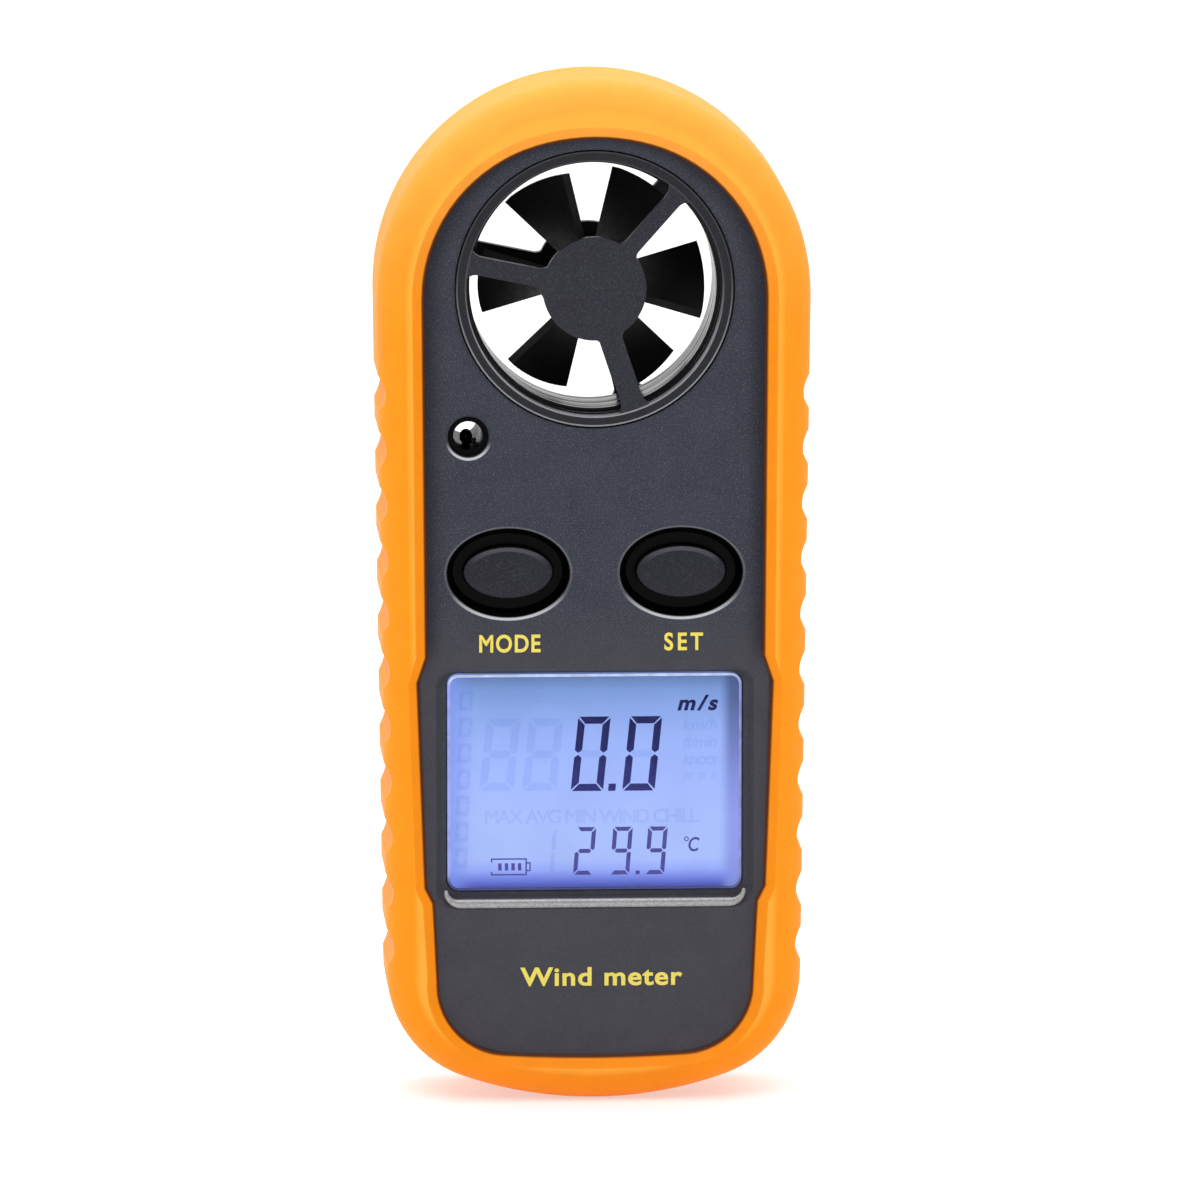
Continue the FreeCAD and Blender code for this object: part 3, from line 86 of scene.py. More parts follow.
def linear(red, green, blue):
    """A display colour, 0 to 255, as the linear colour that shaders use."""
    def channel(value):
        value /= 255
        return value / 12.92 if value <= 0.04045 else ((value + 0.055) / 1.055) ** 2.4
    return (channel(red), channel(green), channel(blue), 1.0)


class Shader:
    """A material being wired up, with short names for the nodes used most."""

    def __init__(self, name):
        self.material = bpy.data.materials.new(name)
        self.material.use_nodes = True
        self.tree = self.material.node_tree
        self.tree.nodes.clear()
        self.output = self.tree.nodes.new("ShaderNodeOutputMaterial")
        coordinates = self.tree.nodes.new("ShaderNodeTexCoord")
        self.normal = coordinates.outputs["Normal"]
        self.mm = self.vector("MULTIPLY", coordinates.outputs["Object"], (1000, 1000, 1000))
        split = self.node("ShaderNodeSeparateXYZ", {0: self.mm})
        self.x, self.y, self.z = split.outputs[0], split.outputs[1], split.outputs[2]

    def node(self, kind, inputs=None, **settings):
        """A node with its settings, and each input set to a value or linked to a socket."""
        made = self.tree.nodes.new(kind)
        for key, value in settings.items():
            setattr(made, key, value)
        for key, value in (inputs or {}).items():
            if isinstance(value, bpy.types.NodeSocket):
                self.tree.links.new(value, made.inputs[key])
            else:
                made.inputs[key].default_value = value
        return made

    def vector(self, operation, *values):
        return self.node("ShaderNodeVectorMath", dict(enumerate(values)), operation=operation).outputs[0]

    def math(self, operation, *values):
        return self.node("ShaderNodeMath", dict(enumerate(values)), operation=operation).outputs[0]

    def ramp(self, value, low, high, to_low=0.0, to_high=1.0, smooth=True):
        """A value's place between low and high, carried to another range and held at its ends."""
        kind = "SMOOTHSTEP" if smooth else "LINEAR"
        inputs = {"Value": value, "From Min": low, "From Max": high, "To Min": to_low, "To Max": to_high}
        return self.node("ShaderNodeMapRange", inputs, interpolation_type=kind, clamp=True).outputs[0]

    def noise(self, scale, detail=2.0, roughness=0.5, stretch=None):
        """Noise over the object, drawn out along an axis where the stretch is small."""
        where = self.mm if stretch is None else self.vector("MULTIPLY", self.mm, stretch)
        inputs = {"Vector": where, "Scale": scale, "Detail": detail, "Roughness": roughness}
        return self.node("ShaderNodeTexNoise", inputs).outputs["Fac"]

    def mix(self, share, first, second, blend="MIX"):
        """Two colours blended by a share, from 0 for the first to 1 for the second."""
        made = self.node("ShaderNodeMix", data_type="RGBA", blend_type=blend)
        for socket, value in ((made.inputs[0], share), (made.inputs[6], first), (made.inputs[7], second)):
            if isinstance(value, bpy.types.NodeSocket):
                self.tree.links.new(value, socket)
            else:
                socket.default_value = value
        return made.outputs[2]

    def scaled(self, colour, factor):
        """A colour with all three channels multiplied by one factor."""
        grey = self.node("ShaderNodeCombineColor", {0: factor, 1: factor, 2: factor}).outputs[0]
        return self.mix(1.0, colour, grey, "MULTIPLY")

    def bump(self, height, distance, under=None):
        """A surface normal from a height of 0 to 1 that stands for a distance."""
        inputs = {"Height": height, "Distance": distance * MM, "Strength": 1.0}
        if under is not None:
            inputs["Normal"] = under
        return self.node("ShaderNodeBump", inputs).outputs[0]

    def ellipse(self, x, z, half_x, half_z):
        """1 on an ellipse about (x, z), less inside it, more outside."""
        across = self.math("DIVIDE", self.math("SUBTRACT", self.x, x), half_x)
        up = self.math("DIVIDE", self.math("SUBTRACT", self.z, z), half_z)
        return self.length(across, up)

    def length(self, across, up):
        """The distance from the origin of a point in the plane."""
        total = self.math("ADD", self.math("POWER", self.math("ABSOLUTE", across), 2.0),
                          self.math("POWER", self.math("ABSOLUTE", up), 2.0))
        return self.math("SQRT", total)

    def facing_in(self, low, high):
        """1 where the surface faces the object's long axis, which runs between two heights."""
        normal = self.node("ShaderNodeSeparateXYZ", {0: self.normal})
        nearest = self.math("MINIMUM", self.math("MAXIMUM", self.z, low), high)
        along_z = self.math("MULTIPLY", normal.outputs[2], self.math("SUBTRACT", self.z, nearest))
        facing = self.math("ADD", self.math("MULTIPLY", normal.outputs[0], self.x), along_z)
        return self.ramp(facing, -0.6, -0.1, 1.0, 0.0)

    def band(self, value, low, high, soft):
        """1 between two values, falling to 0 over a soft edge."""
        rise = self.ramp(value, low - soft, low)
        return self.math("MULTIPLY", rise, self.ramp(value, high, high + soft, 1.0, 0.0))

    def surface(self, **inputs):
        """The finished material, with the shader's inputs named by keywords."""
        sockets = {key.replace("_", " "): value for key, value in inputs.items()}
        made = self.node("ShaderNodeBsdfPrincipled", sockets)
        self.tree.links.new(made.outputs[0], self.output.inputs["Surface"])
        return self.material


# ---------------------------------------------------------------- materials

FLECK = (0.3, 0.31, 0.34, 1)


def plastic(name, colour, rough=0.45, grain=6.0, depth=0.012, flakes=0.0):
    """Moulded plastic: fine spark-eroded grain, slight tone variation and, where asked, metallic flecks."""
    shader = Shader(name)
    tone = shader.ramp(shader.noise(0.22, 3.0), 0.3, 0.7, 0.94, 1.06)
    base = shader.scaled(colour, tone)
    if flakes:
        specks = shader.math("MULTIPLY", shader.ramp(shader.noise(6.5, 1.0), 0.50, 0.78), flakes)
        base = shader.mix(specks, base, FLECK)
    roughness = shader.ramp(shader.noise(1.2, 4.0), 0.3, 0.7, rough - 0.05, rough + 0.06)
    normal = shader.bump(shader.noise(grain, 3.0, 0.6), depth)
    return shader, base, roughness, normal


def simple_plastic(name, colour, rough=0.45, **settings):
    """Moulded plastic with nothing painted on it."""
    shader, base, roughness, normal = plastic(name, colour, rough, **settings)
    return shader.surface(Base_Color=base, Roughness=roughness, Normal=normal, Specular_IOR_Level=0.25)


def rubber():
    """Orange thermoplastic rubber: matte and faintly mottled, with painted highlights on the front ridge
    and the crown and painted shade in the lip's gap and the grip valleys.
    """
    shader = Shader("boot_rubber")
    # The body's orange, deeper towards the foot, a painted highlight for the crown and the ridge, and
    # painted shade for the lip's gap and the grip valleys
    body, foot, crown = (0.98, 0.290, 0.006, 1), (0.98, 0.265, 0.006, 1), (0.99, 0.375, 0.045, 1)
    edge, shadow, groove_shade = (1.0, 0.43, 0.05, 1), (0.10, 0.022, 0.004, 1), (0.80, 0.13, 0.003, 1)
    base = shader.mix(shader.ramp(shader.z, -56, -44, 0.75, 0.0), body, foot)
    # Painted highlight: paler on the crown, where the top light falls
    base = shader.mix(shader.ramp(shader.z, 26, 52), base, crown)
    # Painted highlight along the front ridge
    base = shader.mix(shader.ramp(shader.y, -10.20, -9.95, 0.8, 0.0), base, edge)

    # Painted shadow in the gap between the boot's lip and the case
    front = CASE_LOW.y
    deep = shader.math("MULTIPLY", shader.ramp(shader.y, front - 0.60, front - 0.32),
                       shader.ramp(shader.y, 0.0, 1.0, 1.0, 0.0))
    deep = shader.math("MULTIPLY", deep, shader.facing_in(-42.0, 32.5))
    base = shader.mix(deep, base, shadow)

    # Painted shade, darker and redder, in the valleys between the side grips
    phase = shader.math("MULTIPLY", shader.math("SUBTRACT", shader.z, GRIP_FIRST), math.tau / GRIP_PITCH)
    wave = shader.math("COSINE", phase)
    side = shader.ramp(shader.math("ABSOLUTE", shader.x), 20.6, 21.8)
    valley_shade = shader.math("MULTIPLY", shader.ramp(wave, 0.1, 0.95), side)
    last = GRIP_FIRST - (GRIP_COUNT - 1) * GRIP_PITCH
    valley_shade = shader.math("MULTIPLY", valley_shade, shader.band(shader.z, last - 2.0, GRIP_FIRST + 2.0, 0.5))
    valley_shade = shader.math("MULTIPLY", valley_shade, shader.ramp(shader.y, -6.5, -4.5, 0.0, 0.32))
    base = shader.mix(valley_shade, base, groove_shade)

    mottle = shader.ramp(shader.noise(0.35, 4.0), 0.3, 0.7, 0.955, 1.0)
    base = shader.scaled(base, mottle)
    roughness = shader.ramp(shader.noise(2.0, 4.0), 0.3, 0.7, 0.46, 0.58)
    fine = shader.bump(shader.noise(7.0, 3.0, 0.65), 0.010)
    normal = shader.bump(shader.noise(0.9, 2.0), 0.02, fine)
    return shader.surface(Base_Color=base, Roughness=roughness, Normal=normal, Specular_IOR_Level=0.12)


def case_front():
    """The front moulding: flecked above the display, smoother below, with painted shade along the boot's
    lip, glossier key dishes and bead well painted near-black with shade, and painted highlights on their
    rims.
    """
    shader, _, _, normal = plastic("case_plastic_front", (0.03, 0.03, 0.03, 1))
    upper, lower = (0.039, 0.042, 0.057, 1), (0.057, 0.056, 0.068, 1)
    low_part = shader.ramp(shader.z, -10, 2, 1.0, 0.0)
    tone = shader.ramp(shader.noise(0.3, 3.0), 0.3, 0.7, 0.95, 1.05)
    base = shader.mix(low_part, upper, lower)
    base = shader.scaled(base, tone)
    specks = shader.ramp(shader.noise(6.5, 1.0), 0.50, 0.78)
    specks = shader.math("MULTIPLY", specks, shader.ramp(low_part, 0.0, 1.0, 0.20, 0.08))
    base = shader.mix(specks, base, (0.30, 0.32, 0.37, 1))
    # Painted shade on the panel along the boot's lip, round the fan and down both sides
    above = shader.math("MAXIMUM", shader.math("SUBTRACT", shader.z, FAN_Z - 1.0), 0.0)
    reach = shader.length(shader.x, above)
    shade = shader.math("MULTIPLY", shader.ramp(reach, 16.2, 18.4, 0.0, 0.55),
                        shader.ramp(shader.z, -9.0, -5.0))
    base = shader.mix(shade, base, (0.010, 0.011, 0.014, 1))

    dish_half, well_half = (6.93, 5.08), 2.4
    dish = None
    line = None
    for centre in (-KEY_X, KEY_X):
        ring = shader.ellipse(centre, KEY_Z, *dish_half)
        inside = shader.ramp(ring, 0.965, 0.985, 1.0, 0.0)
        # Painted highlight along each dish's lower rim, and a faint one all round it
        edge = shader.math("MULTIPLY", shader.band(ring, 0.985, 1.010, 0.028),
                           shader.ramp(shader.z, KEY_Z - 5.2, KEY_Z - 1.5, 1.0, 0.0))
        rim = shader.math("MULTIPLY", shader.band(ring, 0.985, 1.0, 0.02),
                          shader.ramp(shader.z, KEY_Z - 2.0, KEY_Z + 4.0, 0.10, 0.16))
        edge = shader.math("MAXIMUM", edge, rim)
        dish = inside if dish is None else shader.math("MAXIMUM", dish, inside)
        line = edge if line is None else shader.math("MAXIMUM", line, edge)
    well = shader.ellipse(*WELL, well_half, well_half)
    dish = shader.math("MAXIMUM", dish, shader.ramp(well, 0.90, 0.96, 1.0, 0.0))
    # Painted highlight on the lower edge of the bead's well
    well_highlight = shader.math("MULTIPLY", shader.band(well, 0.97, 1.05, 0.03),
                            shader.ramp(shader.z, WELL[1] - 2.2, WELL[1] - 0.4, 1.0, 0.0))
    line = shader.math("MAXIMUM", line, well_highlight)
    # Painted shade: near-black inside the key dishes and the bead's well, which are also glossier
    base = shader.mix(dish, base, (0.0006, 0.0007, 0.0008, 1))
    # Painted highlights on the rims of the dishes and the well
    base = shader.mix(line, base, (0.52, 0.53, 0.56, 1))
    rough = shader.ramp(dish, 0.0, 1.0, 0.44, 0.30)
    return shader.surface(Base_Color=base, Roughness=rough, Normal=normal, Specular_IOR_Level=0.06)


def key_top():
    """The keys: satin black with a painted highlight along the upper edge of each crown and painted shade
    round their outer edge.
    """
    colour = (0.017, 0.017, 0.025, 1)
    shader, base, roughness, normal = plastic("key_plastic", colour, 0.5, grain=7.0, flakes=0.08)
    half_x, half_z = 4.85, 2.8
    from_middle = shader.math("SUBTRACT", shader.math("ABSOLUTE", shader.x), KEY_X)
    across = shader.math("DIVIDE", from_middle, half_x)
    up = shader.math("DIVIDE", shader.math("SUBTRACT", shader.z, KEY_Z), half_z)
    ring = shader.length(across, up)
    # Painted highlight along the key's upper edge, where the top light falls
    upper = shader.math("MULTIPLY", shader.band(ring, 0.86, 0.96, 0.06),
                        shader.ramp(up, 0.2, 0.95, 0.0, 0.35))
    base = shader.mix(upper, base, (0.16, 0.165, 0.18, 1))
    # Painted shade: near-black round the key's outer edge
    base = shader.mix(shader.ramp(ring, 0.97, 1.0), base, (0.004, 0.004, 0.005, 1))
    return shader.surface(Base_Color=base, Roughness=roughness, Normal=normal, Specular_IOR_Level=0.15)


def guard():
    """Fan guards: flecked like the case, with painted shade on the ring and painted highlights along its
    inner and outer edges.
    """
    colour = (0.0165, 0.0165, 0.0255, 1)
    shader, base, roughness, normal = plastic("guard_plastic", colour, 0.42, flakes=0.09)
    radius = shader.ellipse(0.0, FAN_Z, 1.0, 1.0)
    # Painted shade over the ring outside its inner edge
    base = shader.mix(shader.ramp(radius, 13.9, 14.1, 0.0, 0.55), base, (0.006, 0.006, 0.008, 1))
    # Painted highlights along the ring's inner and outer edges, strongest at the bottom where the top light
    # falls
    low = shader.ramp(shader.z, FAN_Z - 10, FAN_Z + 4, 1.0, 0.12)
    inner, outer = shader.band(radius, 14.0, 14.10, 0.06), shader.band(radius, 14.96, 15.1, 0.07)
    line = shader.math("MULTIPLY", shader.math("MAXIMUM", inner, outer), shader.math("MULTIPLY", low, 0.6))
    base = shader.mix(line, base, (0.42, 0.43, 0.46, 1))
    return shader.surface(Base_Color=base, Roughness=roughness, Normal=normal, Specular_IOR_Level=0.25)


def duct():
    """Gloss black tube with fine turned rings."""
    shader = Shader("duct_plastic")
    streak = shader.noise(1.0, 2.0, 0.5, (0.06, 1.5, 0.06))
    normal = shader.bump(shader.noise(1.0, 1.0, 0.5, (0.04, 0.8, 0.04)), 0.04)
    tone = shader.mix(streak, (0.006, 0.006, 0.007, 1), (0.014, 0.014, 0.016, 1))
    roughness = shader.ramp(streak, 0.38, 0.60, 0.42, 0.13)
    return shader.surface(Base_Color=tone, Roughness=roughness, Normal=normal, Specular_IOR_Level=0.16)


def metal(name, colour, rough=0.25, scale=3.0, stretch=None):
    """Bare or plated metal with a brushed or rolled surface."""
    shader = Shader(name)
    tone = shader.ramp(shader.noise(scale, 4.0, 0.6, stretch), 0.3, 0.7, 0.82, 1.06)
    base = shader.scaled(colour, tone)
    roughness = shader.ramp(shader.noise(scale * 2, 3.0, 0.5, stretch), 0.3, 0.7, rough - 0.08, rough + 0.1)
    normal = shader.bump(shader.noise(scale * 3, 2.0, 0.5, stretch), 0.004)
    return shader.surface(Base_Color=base, Metallic=1.0, Roughness=roughness, Normal=normal)


def clear_window():
    """Clear acrylic, very slightly hazed where fingers have been."""
    shader = Shader("window_plastic")
    haze = shader.ramp(shader.noise(0.25, 4.0, 0.6), 0.45, 0.75, 0.0, 0.035)
    tint = shader.mix(shader.noise(0.1, 2.0), (0.985, 0.99, 1.0, 1), (0.97, 0.975, 1.0, 1))
    return shader.surface(Base_Color=tint, Transmission_Weight=1.0, IOR=1.12, Roughness=haze)


def sill_silver():
    """Silver for the strip below the window, a painted highlight, uneven at random and brightest along its
    middle.
    """
    shader = Shader("sill_silver")
    worn = shader.ramp(shader.noise(5.0, 3.0), 0.3, 0.7, 0.75, 1.15)
    base = shader.scaled((0.36, 0.36, 0.37, 1), worn)
    normal = shader.bump(shader.noise(6.0, 2.0), 0.006)
    return shader.surface(Base_Color=base, Metallic=0.5, Roughness=0.42, Normal=normal)


def pane_rim():
    """The window's edge, with a painted glow of the backlight gathered in it: pale at the top and left,
    navy at the foot.
    """
    shader = Shader("pane_rim")
    glow = shader.mix(shader.ramp(shader.z, -32.3, -30.8), linear(30, 34, 96), linear(150, 158, 226))
    glow = shader.mix(shader.ramp(shader.z, -10.5, -9.3), glow, linear(196, 204, 240))
    # Painted shade along the right side
    glow = shader.mix(shader.ramp(shader.x, 13.0, 16.0, 0.0, 0.45), glow, linear(96, 104, 150))
    broken = shader.ramp(shader.noise(0.7, 3.0), 0.35, 0.65, 0.80, 1.05)
    glow = shader.scaled(glow, broken)
    return shader.surface(Base_Color=(0.02, 0.02, 0.03, 1), Emission_Color=glow, Emission_Strength=1.0,
                          Roughness=0.2)


def backlight(shader, dim):
    """The display's blue glow: greyer at the top edge, violet at the sides and the bottom, with painted
    shade along the right side.
    """
    height = shader.ramp(shader.z, -33.2, -8.8, smooth=False)
    stops = [(0.0, (52, 58, 140)), (0.045, (104, 120, 214)), (0.094, (150, 170, 249)),
             (0.14, (168, 189, 251)), (0.32, (168, 191, 252)), (0.5, (162, 185, 252)),
             (0.68, (157, 182, 249)), (0.82, (138, 167, 230)), (0.91, (121, 153, 213)),
             (0.96, (100, 131, 184)), (1.0, (82, 112, 164))]
    ramp = shader.node("ShaderNodeValToRGB", {0: height})
    elements = ramp.color_ramp.elements
    for element, (position, colour) in zip(elements, (stops[0], stops[-1])):
        element.position, element.color = position, linear(*colour)
    for position, colour in stops[1:-1]:
        elements.new(position).color = linear(*colour)
    glow = ramp.outputs[0]
    # Painted shade of the bezel along the right side, deepest at the top right corner
    right = shader.ramp(shader.x, 13.6, 15.2, 0.0, 0.85)
    left = shader.ramp(shader.x, -15.9, -13.0, 0.65, 0.0)
    edge = shader.mix(shader.ramp(shader.z, -26, -10), linear(136, 148, 228), linear(62, 80, 128))
    glow = shader.mix(right, glow, edge)
    glow = shader.mix(left, glow, linear(122, 148, 236))
    cloud = shader.ramp(shader.noise(0.16, 2.0), 0.3, 0.7, 0.965, 1.03)
    glow = shader.scaled(glow, cloud)
    return shader.mix(1.0, glow, dim, "MULTIPLY")


def lit(name, dim):
    """A part of the display that glows."""
    shader = Shader(name)
    return shader.surface(Base_Color=(0.01, 0.01, 0.02, 1), Emission_Color=backlight(shader, dim),
                          Emission_Strength=1.0, Roughness=0.5, Specular_IOR_Level=0.1)


def ink(name, top, foot):
    """Liquid crystal segments that are switched on: darkest at the top of the display."""
    shader = Shader(name)
    tone = shader.mix(shader.ramp(shader.z, -24, -13), foot, top)
    blot = shader.ramp(shader.noise(1.5, 2.0), 0.3, 0.7, 0.9, 1.1)
    tone = shader.scaled(tone, blot)
    return shader.surface(Base_Color=(0.002, 0.002, 0.008, 1), Emission_Color=tone, Emission_Strength=1.0,
                          Roughness=0.5, Specular_IOR_Level=0.1)


def paint(name, colour):
    """Screen-printed lettering: slightly uneven cover."""
    shader = Shader(name)
    cover = shader.ramp(shader.noise(4.0, 3.0), 0.3, 0.75, 0.0, 0.35)
    base = shader.mix(cover, colour, tuple(c * 0.72 for c in colour[:3]) + (1,))
    return shader.surface(Base_Color=base, Roughness=shader.ramp(shader.noise(3.0), 0.3, 0.7, 0.4, 0.55),
                          Normal=shader.bump(shader.noise(5.0, 2.0), 0.006))


def circuit_board():
    """Green solder mask over fine tracks."""
    shader = Shader("board")
    settings = {"Vector": shader.mm, "Scale": 0.8, "Mortar Size": 0.04, "Color1": (0.012, 0.075, 0.03, 1),
                "Color2": (0.010, 0.065, 0.026, 1), "Mortar": (0.03, 0.14, 0.06, 1)}
    tracks = shader.node("ShaderNodeTexBrick", settings).outputs[0]
    clouds = shader.ramp(shader.noise(0.5, 3.0), 0.35, 0.65, 0.0, 0.4)
    base = shader.mix(clouds, tracks, (0.008, 0.05, 0.02, 1))
    return shader.surface(Base_Color=base, Roughness=0.32, Normal=shader.bump(shader.noise(3.0, 2.0), 0.01))


def build_materials():
    """Every material by name: the record's slots first, then the printed and lit marks."""
    return {
        "boot_rubber": rubber(),
        "case_plastic_front": case_front(),
        "case_plastic": simple_plastic("case_plastic", (0.040, 0.042, 0.048, 1), 0.42, flakes=0.2),
        "guard_plastic": guard(),
        "duct_plastic": duct(),
        "impeller_plastic": simple_plastic("impeller_plastic", (0.0012, 0.0012, 0.0014, 1), 0.6, grain=3.0),
        "steel": metal("steel", (0.58, 0.58, 0.57, 1), 0.28),
        "ferrite": simple_plastic("ferrite", (0.035, 0.034, 0.036, 1), 0.55, grain=9.0, depth=0.02),
        "brass": metal("brass", (0.72, 0.50, 0.20, 1), 0.25),
        "chip_epoxy": simple_plastic("chip_epoxy", (0.012, 0.012, 0.013, 1), 0.5, grain=9.0),
        "lead_sheath": simple_plastic("lead_sheath", (0.012, 0.012, 0.013, 1), 0.4),
        "bead_epoxy": simple_plastic("bead_epoxy", (0.006, 0.006, 0.007, 1), 0.12, grain=1.0, depth=0.02),
        "tinned_wire": metal("tinned_wire", (0.70, 0.70, 0.69, 1), 0.3),
        "key_plastic": key_top(),
        "switch_plastic": simple_plastic("switch_plastic", (0.026, 0.027, 0.030, 1), 0.5),
        "window_plastic": clear_window(),
        "gasket_foam": simple_plastic("gasket_foam", (0.010, 0.010, 0.011, 1), 0.85, grain=3.0, depth=0.05),
        "lcd": lit("lcd", (1, 1, 1, 1)),
        "light_guide": simple_plastic("light_guide", (0.62, 0.66, 0.80, 1), 0.2),
        "led": simple_plastic("led", (0.72, 0.68, 0.35, 1), 0.3),
        "holder_plastic": simple_plastic("holder_plastic", (0.6, 0.6, 0.58, 1), 0.5),
        "strip_rubber": simple_plastic("strip_rubber", (0.35, 0.34, 0.42, 1), 0.6, grain=12.0),
        "board": circuit_board(),
        "ceramic_chip": simple_plastic("ceramic_chip", (0.30, 0.22, 0.14, 1), 0.45),
        "cell_steel": metal("cell_steel", (0.64, 0.64, 0.62, 1), 0.2, 1.0, (1, 1, 0.1)),
        "spring_steel": metal("spring_steel", (0.62, 0.60, 0.56, 1), 0.24, 2.0, (1, 0.2, 1)),
        "cover_plastic": simple_plastic("cover_plastic", (0.030, 0.031, 0.035, 1), 0.44, flakes=0.12),
        "seal_rubber": simple_plastic("seal_rubber", (0.012, 0.012, 0.012, 1), 0.6),
        "lcd_ghost": lit("lcd_ghost", (0.86, 0.895, 0.95, 1)),
        "lcd_ink": ink("lcd_ink", linear(22, 24, 84), linear(46, 50, 118)),
        "lcd_ink_thin": ink("lcd_ink_thin", linear(24, 22, 84), linear(78, 76, 152)),
        "pane_rim": pane_rim(),
        "sill_silver": sill_silver(),
        "print_yellow": paint("print_yellow", linear(232, 214, 90)),
        "mark_ink": paint("mark_ink", (0.16, 0.165, 0.175, 1)),
    }


MATERIALS = build_materials()


def dress_cad_nodes():
    """Give every CAD node the procedural material of its slot in the record."""
    slots = {entry["slot"] for entry in frame["record"]["materials"]}
    for name, item in NODES.items():
        for slot in item.material_slots:
            key = slot.material.name.split(".")[0]
            if name == "front_case":
                key = "case_plastic_front"
            assert key in MATERIALS and (key in slots or name == "front_case"), (name, key)
            slot.material = MATERIALS[key]


def soften(name, width):
    """Round a CAD node's sharp edges a little, without moving or remaking its mesh."""
    item = NODES[name]
    weld = item.modifiers.new("weld", "WELD")
    weld.merge_threshold = 2e-6
    bevel = item.modifiers.new("edge", "BEVEL")
    bevel.width, bevel.segments = width * MM, 2
    bevel.limit_method, bevel.angle_limit = "ANGLE", math.radians(35)
    bevel.harden_normals = True
    bevel.use_clamp_overlap = True


dress_cad_nodes()
for softened in ("front_guard", "rear_guard", "mode_key", "set_key"):
    soften(softened, width=0.14)


# ---------------------------------------------------------------- mesh helpers

def piece(name, faces, material, body="meter"):
    """A mesh object from a list of faces, each a list of points, riding on a body."""
    bm = bmesh.new()
    for points in faces:
        bm.faces.new([bm.verts.new(Vector(point) * MM) for point in points])
    bmesh.ops.remove_doubles(bm, verts=bm.verts, dist=1e-7)
    bmesh.ops.recalc_face_normals(bm, faces=bm.faces)
    mesh = bpy.data.meshes.new(name)
    bm.to_mesh(mesh)
    bm.free()
    return finish_piece(bpy.data.objects.new(name, mesh), material, body)


def finish_piece(item, material, body):
    """Link an object and give it its material and its body."""
    if item.name not in bpy.context.scene.collection.objects:
        bpy.context.scene.collection.objects.link(item)
    item.data.materials.clear()
    item.data.materials.append(MATERIALS[material])
    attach(item, body)
    return item


def plate(outline, y, thick):
    """Faces of a thin plate whose front is at depth y, from an outline of (x, z) points."""
    front = [(x, y, z) for x, z in outline]
    back = [(x, y + thick, z) for x, z in outline]
    faces = [front, back[::-1]]
    for index in range(len(outline)):
        after = (index + 1) % len(outline)
        faces.append([front[index], back[index], back[after], front[after]])
    return faces


SEGMENTS = {"0": "abcdef", "1": "bc", "2": "abged", "8": "abcdefg", "9": "abcdfg"}


def digit(shown, left, foot, width, height, bar, slant, gap):
    """Outlines of a seven-segment digit's bars. The slant is how far the top leans to the right."""
    half, middle = bar / 2, height / 2
    flat_left, flat_right = bar + gap * 0.3, width - bar - gap * 0.3
    tip_left, tip_right = bar + gap * 0.6, width - bar - gap * 0.6
    over, over_inner, over_point = middle + half, middle + half + gap * 0.2, middle + gap * 0.7
    under, under_inner, under_point = middle - half, middle - half - gap * 0.2, middle - gap * 0.7
    top_inner = height - bar - gap
    bars = {
        "a": [(gap, height), (width - gap, height), (flat_right, height - bar), (flat_left, height - bar)],
        "b": [(width, height - gap), (width, over), (width - half, over_point), (width - bar, over_inner),
              (width - bar, top_inner)],
        "c": [(width, gap), (width - bar, bar + gap), (width - bar, under_inner),
              (width - half, under_point), (width, under)],
        "d": [(flat_left, bar), (flat_right, bar), (width - gap, 0), (gap, 0)],
        "e": [(0, gap), (0, under), (half, under_point), (bar, under_inner), (bar, bar + gap)],
        "f": [(0, height - gap), (bar, top_inner), (bar, over_inner), (half, over_point), (0, over)],
        "g": [(half + gap, middle), (tip_left, over), (tip_right, over), (width - half - gap, middle),
              (tip_right, under), (tip_left, under)],
    }
    placed = []
    for key in SEGMENTS[shown]:
        placed.append([(left + x + slant * z / height, foot + z) for x, z in bars[key]])
    return placed


def box_outline(x0, x1, z0, z1, lean=0.0):
    """A box between two widths and two heights, its top shifted to the right by the lean."""
    return [(x0, z0), (x1, z0), (x1 + lean, z1), (x0 + lean, z1)]


def text_mesh(text, weight, spacing):
    """The built-in typeface as a mesh one unit deep, with its lowest and highest corner."""
    curve = bpy.data.curves.new("text", "FONT")
    curve.body, curve.space_character = text, spacing
    curve.bevel_depth, curve.bevel_resolution = weight, 1
    curve.extrude, curve.resolution_u = 0.5, 6
    carrier = bpy.data.objects.new("text", curve)
    bpy.context.scene.collection.objects.link(carrier)
    bpy.context.view_layer.update()
    mesh = bpy.data.meshes.new_from_object(carrier.evaluated_get(bpy.context.evaluated_depsgraph_get()))
    bpy.data.objects.remove(carrier)
    corners = [Vector(pick(v.co[axis] for v in mesh.vertices) for axis in range(3)) for pick in (min, max)]
    return mesh, *corners


def lettering(name, text, centre, cap, width, y, material,
              lean=0.0, weight=0.0, stretch=1.0, thick=0.03):
    """Raised lettering of a cap height and a width, spaced out to fill the width, centred on (x, z)."""
    spans = []
    for spacing in (1.0, 1.5):
        mesh, low, high = text_mesh(text, weight, spacing)
        spans.append((high - low).x)
        scale = cap / (high - low).y
    wanted = (width - abs(lean)) / (scale * stretch)
    spacing = 1.0
    if len(text) > 1:
        filling = 1.0 + 0.5 * (wanted - spans[0]) / (spans[1] - spans[0])
        spacing = min(max(filling, 0.8), 2.0)
    mesh, low, high = text_mesh(text, weight, spacing)
    middle = (low + high) / 2
    for vertex in mesh.vertices:
        up = (vertex.co.y - middle.y) * scale
        across = (vertex.co.x - middle.x) * scale * stretch + lean * up / cap
        vertex.co = Vector((centre[0] + across, y + (0.5 - vertex.co.z) * thick, centre[1] + up)) * MM
    mesh.name = name
    return finish_piece(bpy.data.objects.new(name, mesh), material, "meter")


# ---------------------------------------------------------------- display contents

